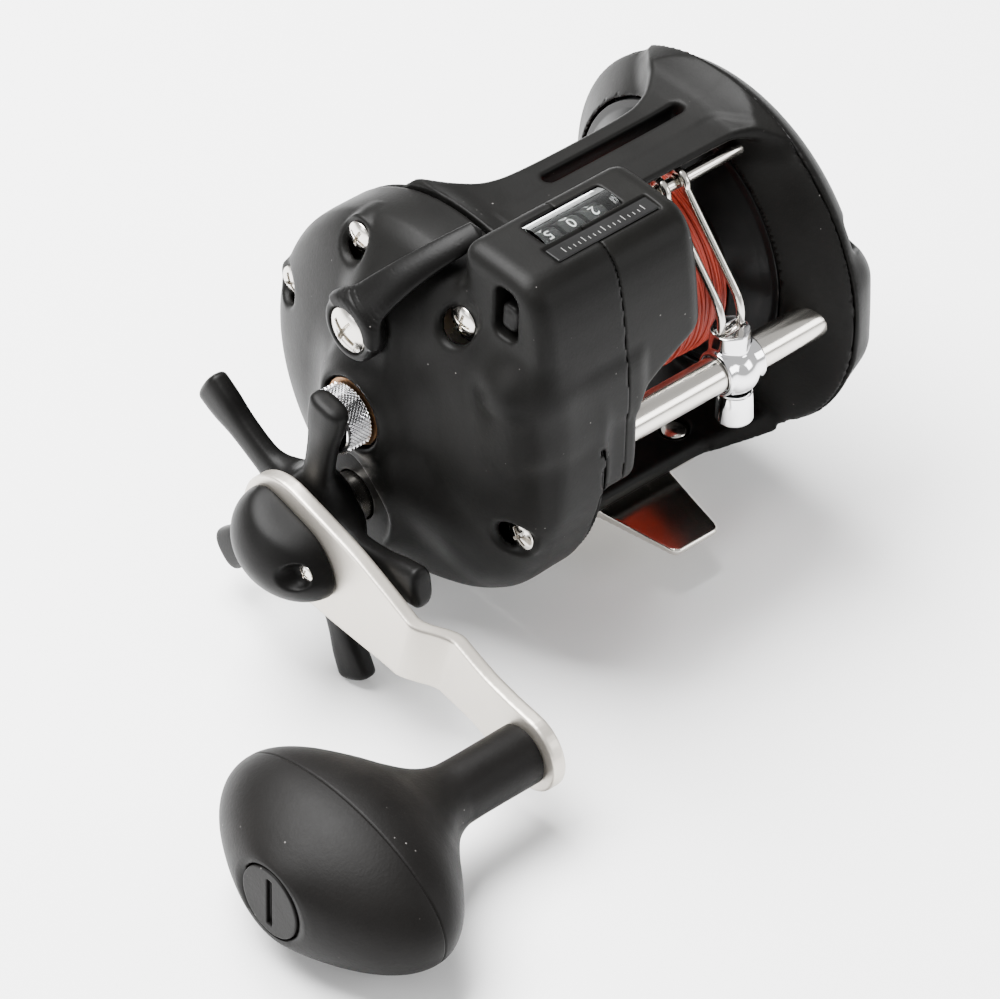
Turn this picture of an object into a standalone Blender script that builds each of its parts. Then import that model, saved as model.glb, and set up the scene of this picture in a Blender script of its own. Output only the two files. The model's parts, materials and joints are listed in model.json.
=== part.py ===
"""Level-wind trolling reel with a line counter.

Frame of the part: +Z is up, the rod tip is towards -Y and the handle side is
-X.  The origin is the centre of the flat sole of the reel foot.
All lengths below are in millimetres and are scaled to metres by MM.
"""
import math

import bmesh
import bpy
from mathutils import Matrix, Vector

MM = 0.001

# ---------------------------------------------------------------- dimensions
GAP = 0.3                     # running gap left between neighbouring pieces

SPOOL = (0.0, 45.0)           # spool axis, as (y, z)
DRIVE = (1.8, 22.3)           # crank axis
RIM = (-2.3, 41.4)            # centre of both side rims
TUBE = (-33.0, 42.0)          # level-wind tube axis
ROD = (-13.4, 72.6)           # upper guide rod axis
LEVER = (0.5, 64.5)           # clutch lever pivot
KNOB = (-60.2, 7.7)           # handle knob axis
COUNTER = (-22.5, 81.6)       # axis of the number wheels

RIM_R = 39.0                  # outside radius of the side rims
OPENING_R = 28.2              # hole in each rim that the spool flange fills
FLANGE_R = 27.7
ARBOR_R = 12.5
LINE_R = 20.6                 # outside of the wound line
SPOOL_X = (-26.4, 22.4)       # inside faces of the spool flanges
FLANGE_T = 1.8
RIM_DEPTH = 8.0               # how far each rim flares away from the spool
FAR_X = 22.0                  # plane of the far opening
NEAR_X = -26.0                # plane of the near opening

TUBE_R = 3.6
ROD_R = 1.35
SHAFT_R = 3.0
PINION_SHAFT_R = 2.0
DRIVE_R = 3.2
CAST_R = 6.4
CARRIAGE_X = 6.1
WIRE_R = 0.85
WIRE_SPREAD = 2.45            # half distance between the two guide wires

MODULE = 22.77 / 28.0         # gears of the crank train
MAIN_TEETH = 42
PINION_TEETH = 14
WIND_MODULE = 0.75            # gears of the level-wind train
WIND_TEETH = 12
IDLER_TEETH = 36
RATCHET_TEETH = 12

FOOT_PLATE = (17.5, 13.0)     # half length in x, half width in y
FOOT_ROOT = 9.35
FOOT_TIP = 5.6
FOOT_REACH = 32.0
FOOT_T = 2.4
WING_T = (1.8, 1.2)           # wing thickness at its root and at its tip

BIG, MID, SMALL = 36, 20, 8   # facets round large, medium and small circles
TOOL = 19                     # facets of a cutting tool, unlike any circle it meets


# ------------------------------------------------------------------- helpers
def clear_scene():
    for item in list(bpy.data.objects):
        bpy.data.objects.remove(item, do_unlink=True)


def material(name, colour, roughness, metallic=0.0):
    mat = bpy.data.materials.new(name)
    mat.use_nodes = True
    shader = mat.node_tree.nodes["Principled BSDF"]
    shader.inputs["Base Color"].default_value = (*colour, 1.0)
    shader.inputs["Roughness"].default_value = roughness
    shader.inputs["Metallic"].default_value = metallic
    mat.diffuse_color = (*colour, 1.0)
    return mat


def mesh_object(name, bm):
    """Close the bmesh into an object with its faces pointing outwards."""
    bmesh.ops.remove_doubles(bm, verts=bm.verts, dist=0.00001)
    bmesh.ops.recalc_face_normals(bm, faces=bm.faces)
    mesh = bpy.data.meshes.new(name)
    bm.to_mesh(mesh)
    bm.free()
    obj = bpy.data.objects.new(name, mesh)
    bpy.context.scene.collection.objects.link(obj)
    return obj


def loft(name, sections, closed=False):
    """Skin a list of equal point loops; a closed loft joins last to first."""
    bm = bmesh.new()
    loops = [[bm.verts.new([c * MM for c in p]) for p in s] for s in sections]
    count = len(loops[0])
    pairs = list(zip(loops, loops[1:]))
    if closed:
        pairs.append((loops[-1], loops[0]))
    for one, two in pairs:
        for i in range(count):
            j = (i + 1) % count
            bm.faces.new((one[i], one[j], two[j], two[i]))
    if not closed:
        bm.faces.new(loops[0])
        bm.faces.new(loops[-1])
    return mesh_object(name, bm)


def ring_points(x, centre, radius, count, squash=1.0, turn=0.0):
    """Points of a circle, or of an ellipse, standing in the plane x."""
    points = []
    for i in range(count):
        a = 2.0 * math.pi * i / count
        y = radius * math.cos(a)
        z = radius * squash * math.sin(a)
        points.append((x,
                       centre[0] + y * math.cos(turn) - z * math.sin(turn),
                       centre[1] + y * math.sin(turn) + z * math.cos(turn)))
    return points


def turned(name, centre, profile, count, bored=False):
    """Body turned about an axis along X from (x, radius) pairs."""
    rings = [ring_points(x, centre, r, count) for x, r in profile]
    return loft(name, rings, closed=bored)


def turned_up(name, centre, profile, count):
    """Body turned about a vertical axis through (x, y) from (z, radius)."""
    rings = []
    for z, r in profile:
        ring = []
        for i in range(count):
            a = 2.0 * math.pi * i / count
            ring.append((centre[0] + r * math.cos(a), centre[1] + r * math.sin(a), z))
        rings.append(ring)
    return loft(name, rings)


def tube_x(name, centre, x0, x1, outer, inner, count, chamfer=0.0):
    """Bored cylinder along X with an optional outer chamfer."""
    c = chamfer
    profile = [(x0, inner), (x1, inner), (x1, outer - c)]
    if c:
        profile += [(x1 - c, outer), (x0 + c, outer)]
    else:
        profile += [(x0, outer)]
    if c:
        profile += [(x0, outer - c)]
    return turned(name, centre, profile, count, bored=True)


def rod_x(name, centre, x0, x1, radius, count, chamfer=0.0):
    """Solid cylinder along X with an optional chamfer at both ends."""
    c = chamfer
    if c:
        profile = [(x0, radius - c), (x0 + c, radius), (x1 - c, radius), (x1, radius - c)]
    else:
        profile = [(x0, radius), (x1, radius)]
    return turned(name, centre, profile, count)


def prism_x(name, outline, x0, x1):
    """Outline of (y, z) points extruded along X."""
    return loft(name, [[(x, y, z) for y, z in outline] for x in (x0, x1)])


def prism_z(name, outline, z0, z1):
    """Outline of (x, y) points extruded upwards."""
    return loft(name, [[(x, y, z) for x, y in outline] for z in (z0, z1)])


def box(name, x, y, z):
    return prism_x(name, [(y[0], z[0]), (y[1], z[0]), (y[1], z[1]), (y[0], z[1])], *x)


def stadium(x0, x1, y, half, count=6):
    """Outline of a slot along X with round ends."""
    points = []
    for centre, start in ((x1 - half, -90.0), (x0 + half, 90.0)):
        for i in range(count + 1):
            a = math.radians(start + 180.0 * i / count)
            points.append((centre + half * math.cos(a), y + half * math.sin(a)))
    return points


def rounded(y0, y1, z0, z1, r, steps=2):
    """Rectangle outline in (y, z) with rounded corners."""
    points = []
    corners = ((y1 - r, z1 - r, 0.0), (y0 + r, z1 - r, 90.0),
               (y0 + r, z0 + r, 180.0), (y1 - r, z0 + r, 270.0))
    for y, z, start in corners:
        for i in range(steps + 1):
            a = math.radians(start + 90.0 * i / steps)
            points.append((y + r * math.cos(a), z + r * math.sin(a)))
    return points


def hull(name, points):
    """Convex body round a set of points."""
    bm = bmesh.new()
    for p in points:
        bm.verts.new([c * MM for c in p])
    made = bmesh.ops.convex_hull(bm, input=bm.verts)
    loose = [g for g in made["geom_interior"] if isinstance(g, bmesh.types.BMVert)]
    bmesh.ops.delete(bm, geom=loose, context="VERTS")
    return mesh_object(name, bm)


def combine(obj, tool, operation="DIFFERENCE"):
    """Boolean with a hidden tool body that stays in the scene as a guide."""
    tool.hide_render = True
    tool.display_type = "WIRE"
    mod = obj.modifiers.new(tool.name, "BOOLEAN")
    mod.operation = operation
    mod.solver = "EXACT"
    mod.object = tool
    return obj


def finish(obj, name, mat, origin=None, smooth_angle=35.0):
    """Name, paint and shade a piece, and put its origin on its joint axis."""
    obj.name = name
    obj.data.name = name
    obj.data.materials.clear()
    obj.data.materials.append(mat)
    obj.data.shade_smooth()
    obj.data.set_sharp_from_angle(angle=math.radians(smooth_angle))
    if origin is not None:
        place = Vector(origin) * MM
        obj.data.transform(Matrix.Translation(-place))
        obj.location = place
    return obj


def gear_outline(centre, teeth, module, phase, fill=0.38):
    """Trapezoid teeth; phase is the angle of the middle of one tooth."""
    pitch = teeth * module / 2.0
    tip = pitch + 0.62 * module
    root = pitch - 0.95 * module
    step = 2.0 * math.pi / teeth
    points = []
    for i in range(teeth):
        mid = phase + i * step
        for r, part in ((root, -0.36), (tip, -0.5 * fill * 0.62),
                        (tip, 0.5 * fill * 0.62), (root, 0.36)):
            a = mid + part * step
            points.append((centre[0] + r * math.cos(a), centre[1] + r * math.sin(a)))
    return points


def gear(name, centre, teeth, module, phase, x0, x1, bore):
    """Spur gear along X with a plain bore."""
    body = prism_x(name, gear_outline(centre, teeth, module, phase), x0, x1)
    hole = rod_x(name + "_bore", centre, x0 - 1.0, x1 + 1.0, bore, 11)
    return combine(body, hole)


def bearing_of(one, two):
    return math.atan2(two[1] - one[1], two[0] - one[0])


def apart(one, two):
    return math.hypot(two[0] - one[0], two[1] - one[1])


def between(t):
    """Centre that moves from the spool axis to the rim centre as t goes 0 to 1."""
    return (SPOOL[0] + (RIM[0] - SPOOL[0]) * t, SPOOL[1] + (RIM[1] - SPOOL[1]) * t)


# ----------------------------------------------------------------- materials
graphite = material("graphite_black", (0.022, 0.022, 0.023), 0.48)
graphite_soft = material("counter_black", (0.018, 0.018, 0.019), 0.42)
rubbery = material("knob_black", (0.016, 0.016, 0.016), 0.55)
satin_black = material("satin_black", (0.014, 0.014, 0.015), 0.4)
steel = material("polished_steel", (0.62, 0.60, 0.56), 0.16, 1.0)
chrome = material("chrome", (0.80, 0.80, 0.81), 0.06, 1.0)
anodised = material("anodised_silver", (0.66, 0.63, 0.58), 0.38, 1.0)
bronze = material("bronze", (0.30, 0.17, 0.08), 0.35, 1.0)
brass = material("brass", (0.72, 0.52, 0.24), 0.3, 1.0)
zinc = material("bright_zinc", (0.60, 0.60, 0.60), 0.3, 1.0)
red_line = material("red_line", (0.36, 0.03, 0.015), 0.45)
clear = material("clear_window", (0.80, 0.84, 0.84), 0.05)
label_black = material("label_black", (0.01, 0.01, 0.01), 0.3)
wheel_black = material("wheel_black", (0.02, 0.02, 0.02), 0.5)
fibre = material("drag_fibre", (0.10, 0.07, 0.05), 0.8)
spool_black = material("spool_black", (0.018, 0.018, 0.02), 0.3)
nylon = material("white_nylon", (0.70, 0.69, 0.64), 0.5)


# ------------------------------------------------------------ frame and rims
RIM_FRONT = ((0.0, OPENING_R, 0.0), (3.4, 33.0, 0.42), (6.4, 37.3, 0.84), (RIM_DEPTH, RIM_R, 1.0))
RIM_BACK = ((RIM_DEPTH, 37.3, 1.0), (5.2, 33.4, 0.66), (2.2, OPENING_R, 0.0))


def rim(name, plane, way):
    """Flared shell between the off-centre rim and the spool opening."""
    rows = RIM_FRONT + RIM_BACK
    rings = [ring_points(plane + way * dx, between(t), r, BIG) for dx, r, t in rows]
    return loft(name, rings, closed=True)


def rim_cutter(name, plane, way):
    """Solid that a neighbour is cut back with, one gap larger than the rim."""
    rows = [(-GAP, OPENING_R + GAP, 0.0)]
    rows += [(dx - GAP, r + GAP, t) for dx, r, t in RIM_FRONT[1:]]
    rows += [(RIM_DEPTH + GAP + 0.6, RIM_R + GAP, 1.0)]
    rings = [ring_points(plane + way * dx, between(t), r, BIG) for dx, r, t in rows]
    return loft(name, rings)


def bar(name, stations, radius):
    """Crossbar whose rounded section changes along X."""
    rings = []
    for x, y0, y1, z0, z1 in stations:
        rings.append([(x, y, z) for y, z in rounded(y0, y1, z0, z1, radius)])
    return loft(name, rings)


TOP_BAR = ((-33.0, -15.0, 13.0, 72.6, 79.0), (-28.0, -12.5, 8.0, 73.2, 78.6),
           (-23.0, -9.4, 4.8, 73.8, 78.3), (-14.0, -9.2, 3.6, 74.0, 78.2),
           (8.0, -9.2, 3.6, 74.0, 78.2), (16.0, -9.2, 5.2, 73.8, 78.4),
           (21.5, -9.4, 9.0, 73.4, 78.8), (24.2, -13.0, 12.0, 73.1, 79.1),
           (28.0, -18.0, 15.0, 72.6, 79.0))
LOW_BAR = ((-32.5, -20.0, 16.0, 5.2, 12.0), (-26.0, -17.0, 15.0, 3.4, 8.4),
           (-20.0, -16.0, 15.0, 2.8, 7.0), (12.0, -16.0, 15.0, 2.8, 7.0),
           (18.0, -17.6, 15.6, 3.3, 8.0), (23.0, -20.0, 17.0, 4.3, 10.0),
           (28.5, -23.0, 19.0, 5.6, 12.6))
TOP_LIP = ((-29.0, -15.4, -4.0, 76.5, 78.7), (-22.0, -14.6, -4.0, 76.4, 78.2),
           (16.0, -14.6, -4.0, 76.4, 78.2), (23.0, -15.6, -4.0, 76.4, 78.6),
           (28.5, -19.0, -4.0, 76.4, 79.0))
RIVETS = [(sx * 14.0, sy * 9.8) for sx in (-1, 1) for sy in (-1, 1)]
SLOT_X = (-15.6, 20.2)


def build_frame():
    frame = rim("frame", FAR_X, 1.0)
    combine(frame, rim("frame_near", NEAR_X, -1.0), "UNION")
    combine(frame, bar("frame_top_bar", TOP_BAR, 1.6), "UNION")
    combine(frame, bar("frame_top_lip", TOP_LIP, 0.8), "UNION")
    combine(frame, bar("frame_low_bar", LOW_BAR, 1.5), "UNION")
    inside = rod_x("frame_spool_room", SPOOL, -28.6, 24.6, OPENING_R - 0.05, BIG)
    combine(frame, inside)
    slot = prism_z("frame_slot", stadium(*SLOT_X, -2.4, 1.8), 70.0, 82.0)
    combine(frame, slot)
    combine(frame, rod_x("frame_rod_hole", ROD, -40.0, 40.0, ROD_R + GAP, SMALL))
    combine(frame, rod_x("frame_tube_hole", TUBE, -40.0, 29.8, TUBE_R + GAP, 24))
    for i, (x, y) in enumerate(RIVETS):
        hole = turned_up("frame_rivet_hole_%d" % i, (x, y), [(0.0, 1.7), (9.0, 1.7)], 12)
        combine(frame, hole)
        seat = turned_up("frame_rivet_seat_%d" % i, (x, y), [(6.2, 3.1), (14.0, 3.1)], SMALL)
        combine(frame, seat)
    return finish(frame, "frame", graphite)


def build_foot():
    """Foot plate with two tapered wings; the sole is one flat face."""
    px, py = FOOT_PLATE
    outline = [(-px, -py), (-FOOT_ROOT, -py), (-FOOT_TIP, -FOOT_REACH),
               (FOOT_TIP, -FOOT_REACH), (FOOT_ROOT, -py), (px, -py),
               (px, py), (FOOT_ROOT, py), (FOOT_TIP, FOOT_REACH),
               (-FOOT_TIP, FOOT_REACH), (-FOOT_ROOT, py), (-px, py)]
    foot = prism_z("reel_foot", outline, 0.0, FOOT_T)
    wedge = [(py + 0.4, FOOT_T), (py + 1.6, WING_T[0]), (FOOT_REACH + 1.0, WING_T[1]),
             (FOOT_REACH + 1.0, 6.0), (py + 0.4, 6.0)]
    for way in (-1.0, 1.0):
        cut = prism_x("foot_taper_%d" % way, [(way * y, z) for y, z in wedge], -20.0, 20.0)
        combine(foot, cut)
    for i, (x, y) in enumerate(RIVETS):
        hole = turned_up("foot_hole_%d" % i, (x, y), [(-1.0, 1.7), (4.0, 1.7)], 12)
        combine(foot, hole)
    foot = finish(foot, "reel_foot", steel)
    for i, (x, y) in enumerate(RIVETS):
        profile = [(0.25, 1.35), (6.5, 1.35), (6.5, 2.7), (7.0, 2.6), (7.5, 1.7), (7.6, 0.6)]
        rivet = turned_up("rivet", (x, y), profile, SMALL)
        finish(rivet, "foot_rivet_%d" % (i + 1), steel)
    return foot


# --------------------------------------------------------------- side covers
def cup(name, plane, way, outer, inner):
    """Open cup about the rim centre; rows are (depth, radius)."""
    rows = list(reversed(inner)) + list(outer)
    rings = [ring_points(plane + way * d, RIM, r, BIG) for d, r in rows]
    return loft(name, rings)


GEAR_OUTER = ((0.0, 39.0), (8.4, 39.0), (11.4, 38.3), (14.2, 36.0), (16.8, 31.2),
              (19.2, 23.0), (20.9, 10.0))
GEAR_INNER = ((0.0, 37.6), (10.2, 37.5), (13.0, 34.8), (16.0, 28.0), (18.4, 18.0), (19.2, 9.0))
GEAR_X = -34.3
LEFT_OUTER = ((0.0, 38.8), (1.6, 38.2), (4.2, 36.0), (6.6, 32.0), (8.6, 25.0), (9.8, 14.0),
              (10.2, 7.0))
LEFT_INNER = ((0.0, 37.4), (1.0, 36.8), (3.2, 34.6), (5.4, 30.8), (7.2, 24.2), (8.3, 13.6),
              (8.7, 8.0))
LEFT_X = 30.3

GEAR_SCREWS = ((11.5, 73.2), (30.4, 51.2), (-17.6, 71.2), (-34.4, 31.0))
GEAR_FLOOR = -47.6
GEAR_SHANK = 11.0
LEFT_SCREW_R = 34.0
LEFT_SCREW_ANGLES = (151.0, 271.0, 31.0)
LEFT_FLOOR = 33.2
LEFT_SHANK = 2.4
TUBE_BOSS = (((-33.2, 48.0), (-33.6, 36.0)), ((30.6, 7.0), (35.6, 6.2), (38.2, 3.6)))


def boss(name, centres, x0, r0, x1, r1, count=MID):
    """Drafted pad that wraps one or two axes."""
    points = []
    for c in centres:
        points += ring_points(x0, c, r0, count)
        points += ring_points(x1, c, r1, count)
    return hull(name, points)


def screw(name, centre, floor, way, head_r, mat, shank):
    """Round-head screw along X; way points out of the cover."""
    rows = [(-shank, 1.0), (0.0, 1.0), (0.0, head_r), (0.5, head_r), (1.1, head_r * 0.82),
            (1.5, head_r * 0.45)]
    base = floor + way * 0.15
    body = turned("screw", centre, [(base + way * d, r) for d, r in rows], SMALL)
    for i, (a, b) in enumerate(((0.3, head_r * 0.55), (head_r * 0.55, 0.3))):
        x = sorted((base + way * 0.8, base + way * 3.0))
        arm = box("%s_drive_%d" % (name, i), x, (centre[0] - a, centre[0] + a),
                  (centre[1] - b, centre[1] + b))
        combine(body, arm)
    return finish(body, name, mat)


def build_gear_cover():
    cover = cup("gear_cover", GEAR_X, -1.0, GEAR_OUTER, GEAR_INNER)
    pads = (("pad_main", (SPOOL, DRIVE), -52.0, 15.0, -58.2, 11.2),
            ("pad_cast", (SPOOL,), -51.3, 11.5, -60.4, 8.8),
            ("pad_lever", (SPOOL, LEVER), -50.4, 9.6, -56.2, 7.2))
    for name, centres, x0, r0, x1, r1 in pads:
        combine(cover, boss(name, centres, x0, r0, x1, r1), "UNION")
    for i, c in enumerate(GEAR_SCREWS):
        combine(cover, rod_x("pillar_%d" % i, c, GEAR_FLOOR - GAP, -34.9, 3.6, SMALL), "UNION")
    combine(cover, rod_x("drive_bore", DRIVE, -70.0, -45.0, 5.4, TOOL))
    combine(cover, rod_x("cast_recess", SPOOL, -70.0, -58.5, 7.3, TOOL))
    combine(cover, rod_x("cast_bore", SPOOL, -70.0, -45.0, 3.3, 11))
    combine(cover, rod_x("lever_bore", LEVER, -70.0, -42.0, 2.3, 11))
    for i, c in enumerate(GEAR_SCREWS):
        out = (c[0] + (c[0] - RIM[0]) * 0.08, c[1] + (c[1] - RIM[1]) * 0.08)
        pocket = boss("screw_pocket_%d" % i, (c, out), GEAR_FLOOR, 3.5, -58.0, 4.5, 14)
        combine(cover, pocket)
        combine(cover, rod_x("screw_hole_%d" % i, c, -60.0, -30.0, 1.3, 9))
    finish(cover, "gear_side_cover", graphite)
    for i, c in enumerate(GEAR_SCREWS):
        screw("gear_cover_screw_%d" % (i + 1), c, GEAR_FLOOR, -1.0, 3.1, steel, GEAR_SHANK)


def build_left_cover():
    cover = cup("left_cover", LEFT_X, 1.0, LEFT_OUTER, LEFT_INNER)
    seat = tube_x("left_bearing_seat", SPOOL, 29.0, 39.6, 7.2, 5.5, MID)
    combine(cover, seat, "UNION")
    points = [p for c in TUBE_BOSS[0] for x, r in TUBE_BOSS[1] for p in ring_points(x, c, r, MID)]
    combine(cover, hull("left_tube_boss", points), "UNION")
    spots = []
    for i, angle in enumerate(LEFT_SCREW_ANGLES):
        out = (math.cos(math.radians(angle)), math.sin(math.radians(angle)))
        spots.append((RIM[0] + LEFT_SCREW_R * out[0], RIM[1] + LEFT_SCREW_R * out[1]))
        inward = LEFT_SCREW_R - 2.6
        high = (RIM[0] + inward * out[0], RIM[1] + inward * out[1])
        foot = ring_points(31.0, spots[i], 3.0, SMALL) + ring_points(34.6, high, 4.0, SMALL)
        combine(cover, hull("left_pillar_%d" % i, foot), "UNION")
    for i, c in enumerate(spots):
        out = (c[0] + (c[0] - RIM[0]) * 0.16, c[1] + (c[1] - RIM[1]) * 0.16)
        combine(cover, boss("left_pocket_%d" % i, (c, out), LEFT_FLOOR, 3.4, 46.0, 4.8, 14))
        combine(cover, rod_x("left_hole_%d" % i, c, 28.0, 46.0, 1.3, 9))
    finish(cover, "left_side_cover", graphite)
    for i, c in enumerate(spots):
        screw("left_cover_screw_%d" % (i + 1), c, LEFT_FLOOR, 1.0, 2.6, steel, LEFT_SHANK)


# -------------------------------------------------------------- line counter
HOUSING_X = (-47.5, -8.0)
HOUSING = ((-16.0, 77.6), (-15.4, 79.0), (-15.4, 86.2), (-16.2, 87.6), (-18.0, 88.2),
           (-30.4, 88.1), (-32.6, 87.5), (-34.6, 86.1), (-36.2, 83.9), (-37.2, 81.2),
           (-38.2, 77.0), (-39.2, 70.0),
           (-39.8, 62.0), (-40.0, 53.0), (-38.0, 51.5), (-34.4, 60.8), (-31.0, 66.0))
NOSE_X = (-33.4, -24.2)
NOSE = ((-30.0, 66.0), (-39.5, 66.0), (-40.0, 55.0), (-40.0, 38.0), (-38.4, 35.2),
        (-35.4, 33.8), (-30.0, 34.4), (-27.8, 38.0), (-27.8, 50.0))
LIP = ((-24.199, 53.6), (-22.6, 55.4), (-19.0, 57.9), (-14.0, 60.8), (-7.0, 64.2))
WHEEL_R = 4.7
WHEEL_X = (-32.4, -26.9, -21.4)
WHEEL_W = 4.6
WINDOW_X = (-36.0, -17.0)
WINDOW_Y = (-26.0, -19.0)
BUTTON = (-28.2, 79.4)        # centre of the reset button, as (y, z)


def cover_cutter(name):
    """The gear cover filled in and one gap larger."""
    rows = [(-1.4, RIM_R + GAP)] + [(d + GAP, r + GAP) for d, r in GEAR_OUTER]
    rings = [ring_points(GEAR_X - d, RIM, r, BIG) for d, r in rows]
    return loft(name, rings)


def build_counter():
    housing = prism_x("housing", HOUSING, *HOUSING_X)
    combine(housing, prism_x("housing_nose", NOSE, *NOSE_X), "UNION")
    ends = ((-48.0, -44.5, 1.0), (-11.0, -7.5, -1.0))
    for i, (x0, x1, way) in enumerate(ends):
        face, back = (x0, x1) if way > 0 else (x1, x0)
        wedge = [(face, 80.5), (face, 90.0), (back + way * 1.5, 90.0)]
        cut = loft("housing_bevel_%d" % i, [[(x, y, z) for x, z in wedge] for y in (-50.0, -10.0)])
        combine(housing, cut)
    lip = [(NOSE_X[1] + 0.001, 49.0), *LIP, (HOUSING_X[1] + 1.0, 49.0)]
    combine(housing, loft("housing_lip", [[(x, y, z) for x, z in lip] for y in (-50.0, -20.0)]))
    combine(housing, cover_cutter("housing_cover_room"))
    combine(housing, rim_cutter("housing_rim_room", NEAR_X, -1.0))
    combine(housing, rod_x("housing_spool_room", SPOOL, -30.0, 0.0, OPENING_R + GAP, BIG))
    combine(housing, rod_x("housing_tube_room", TUBE, -60.0, 0.0, TUBE_R + GAP, 24))
    combine(housing, rod_x("housing_wheel_room", COUNTER, -35.6, -17.6, WHEEL_R + 0.4, MID))
    combine(housing, rod_x("housing_axle_hole", COUNTER, -37.6, -15.6, 1.1, 12))
    combine(housing, box("housing_window_hole", WINDOW_X, WINDOW_Y, (82.0, 92.0)))
    combine(housing, box("housing_label_seat", (-37.6, -12.4), (-31.4, -26.6), (87.3, 92.0)))
    combine(housing, box("housing_button_hole", (-50.0, -39.4), (BUTTON[0] - 2.6, BUTTON[0] + 2.6),
                         (BUTTON[1] - 4.8, BUTTON[1] + 4.8)))
    finish(housing, "counter_housing", graphite_soft)

    arch = []
    for i in range(9):
        a = math.radians(62.0 + 56.0 * i / 8.0)
        arch.append((COUNTER[0] + 6.9 * math.cos(a), COUNTER[1] + 6.9 * math.sin(a)))
    for i in range(9):
        a = math.radians(118.0 - 56.0 * i / 8.0)
        arch.append((COUNTER[0] + 5.6 * math.cos(a), COUNTER[1] + 5.6 * math.sin(a)))
    window = prism_x("window", arch, WINDOW_X[0] + GAP, WINDOW_X[1] - GAP)
    finish(window, "counter_window", clear)

    label = box("label", (-37.2, -12.8), (-31.0, -27.0), (87.45, 88.05))
    finish(label, "counter_label", label_black)

    names = ("digit_wheel_units", "digit_wheel_tens", "digit_wheel_hundreds")
    for name, x in zip(names, WHEEL_X):
        wheel = tube_x(name, COUNTER, x - WHEEL_W / 2, x + WHEEL_W / 2, WHEEL_R, 1.05, 16, 0.3)
        finish(wheel, name, wheel_black, origin=(x, *COUNTER))
    axle = rod_x("axle", COUNTER, -37.2, -16.0, 0.75, 12)
    finish(axle, "digit_wheel_axle", steel)

    y, z = BUTTON
    outline = rounded(y - 2.2, y + 2.2, z - 4.4, z + 1.2, 1.4)
    crown = [(y + (py - y) * 0.72, z - 1.6 + (pz - z + 1.6) * 0.72) for py, pz in outline]
    button = loft("button", [[(-41.6, p, q) for p, q in outline],
                             [(-46.0, p, q) for p, q in outline],
                             [(-47.0, p, q) for p, q in crown]])
    finish(button, "counter_reset_button", satin_black, origin=(-44.0, y, z))


# ------------------------------------------------------------ spool and line
# dished inner face of a flange, as (distance in from its edge, radius)
FLANGE_FACE = ((0.0, FLANGE_R), (0.2, 26.2), (1.6, 24.6), (5.8, 20.4), (7.4, ARBOR_R))


def build_spool():
    n0, f0 = SPOOL_X
    n1, f1 = n0 - FLANGE_T, f0 + FLANGE_T
    bore = SHAFT_R + GAP
    profile = [(n1, bore), (f1, bore), (f1, 20.0), (f1 - 0.7, 20.8), (f1 - 0.7, 25.6),
               (f1, 26.3), (f1, FLANGE_R)]
    profile += [(f0 - back, r) for back, r in FLANGE_FACE]
    profile += [(n0 + back, r) for back, r in reversed(FLANGE_FACE)]
    profile += [(n1, FLANGE_R)]
    spool = turned("spool", SPOOL, profile, BIG, bored=True)
    finish(spool, "spool", spool_black, origin=(-2.0, *SPOOL))
    hem, foot = FLANGE_FACE[3][0] + GAP, FLANGE_FACE[4][0] + GAP
    line = turned("line", SPOOL, [(n0 + foot, ARBOR_R + GAP), (f0 - foot, ARBOR_R + GAP),
                                  (f0 - hem, LINE_R - 0.4), (f0 - hem - 0.5, LINE_R),
                                  (n0 + hem + 0.5, LINE_R), (n0 + hem, LINE_R - 0.4)],
                  BIG, bored=True)
    finish(line, "wound_line", red_line, origin=(-2.0, *SPOOL))
    shaft = turned("shaft", SPOOL, [(-57.6, PINION_SHAFT_R - 0.4), (-57.2, PINION_SHAFT_R),
                                    (-37.4, PINION_SHAFT_R), (-37.4, SHAFT_R),
                                    (34.4, SHAFT_R), (35.2, SHAFT_R - 0.8)], 20)
    finish(shaft, "spool_shaft", steel, origin=(-2.0, *SPOOL))
    for name, x0 in (("bearing_left", 29.6), ("bearing_right", -35.9)):
        ring = tube_x(name, SPOOL, x0, x0 + 3.6, 5.2, SHAFT_R + GAP, 16)
        finish(ring, name, steel)
    cast = turned("cast", SPOOL, [(-65.3, CAST_R - 0.7), (-64.6, CAST_R), (-60.2, CAST_R),
                                  (-59.7, CAST_R - 0.5)], MID)
    finish(cast, "cast_control_knob", chrome, origin=(-62.5, *SPOOL))
    washer = tube_x("washer", SPOOL, -59.35, -58.7, 6.9, 2.6, MID)
    finish(washer, "cast_control_washer", bronze)


# ------------------------------------------------------------------- gearbox
PLATE_X = (-37.0, -35.3)
WIND_X = (-39.5, -37.6)
MAIN_X = (-44.2, -41.2)


def idler_place():
    """Idler centre, above the line from the spool axis to the worm axis."""
    reach = WIND_MODULE * (WIND_TEETH + IDLER_TEETH) / 2.0
    half = apart(SPOOL, TUBE) / 2.0
    rise = math.sqrt(reach * reach - half * half)
    mid = ((SPOOL[0] + TUBE[0]) / 2.0, (SPOOL[1] + TUBE[1]) / 2.0)
    a = bearing_of(TUBE, SPOOL) + math.pi / 2.0
    return (mid[0] + rise * math.cos(a), mid[1] + rise * math.sin(a))


IDLER = idler_place()
DOG = (17.5, 30.6)            # pivot of the anti-reverse dog


def meshed_phase(own_centre, own_teeth, other_centre, other_teeth, other_phase):
    """Tooth phase that puts a gap of this gear on a tooth of the other."""
    there = bearing_of(other_centre, own_centre)
    step = 2.0 * math.pi / other_teeth
    ahead = ((there - other_phase) / step) % 1.0
    here = bearing_of(own_centre, other_centre)
    own_step = 2.0 * math.pi / own_teeth
    return here + own_step * (0.5 + ahead)


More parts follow.
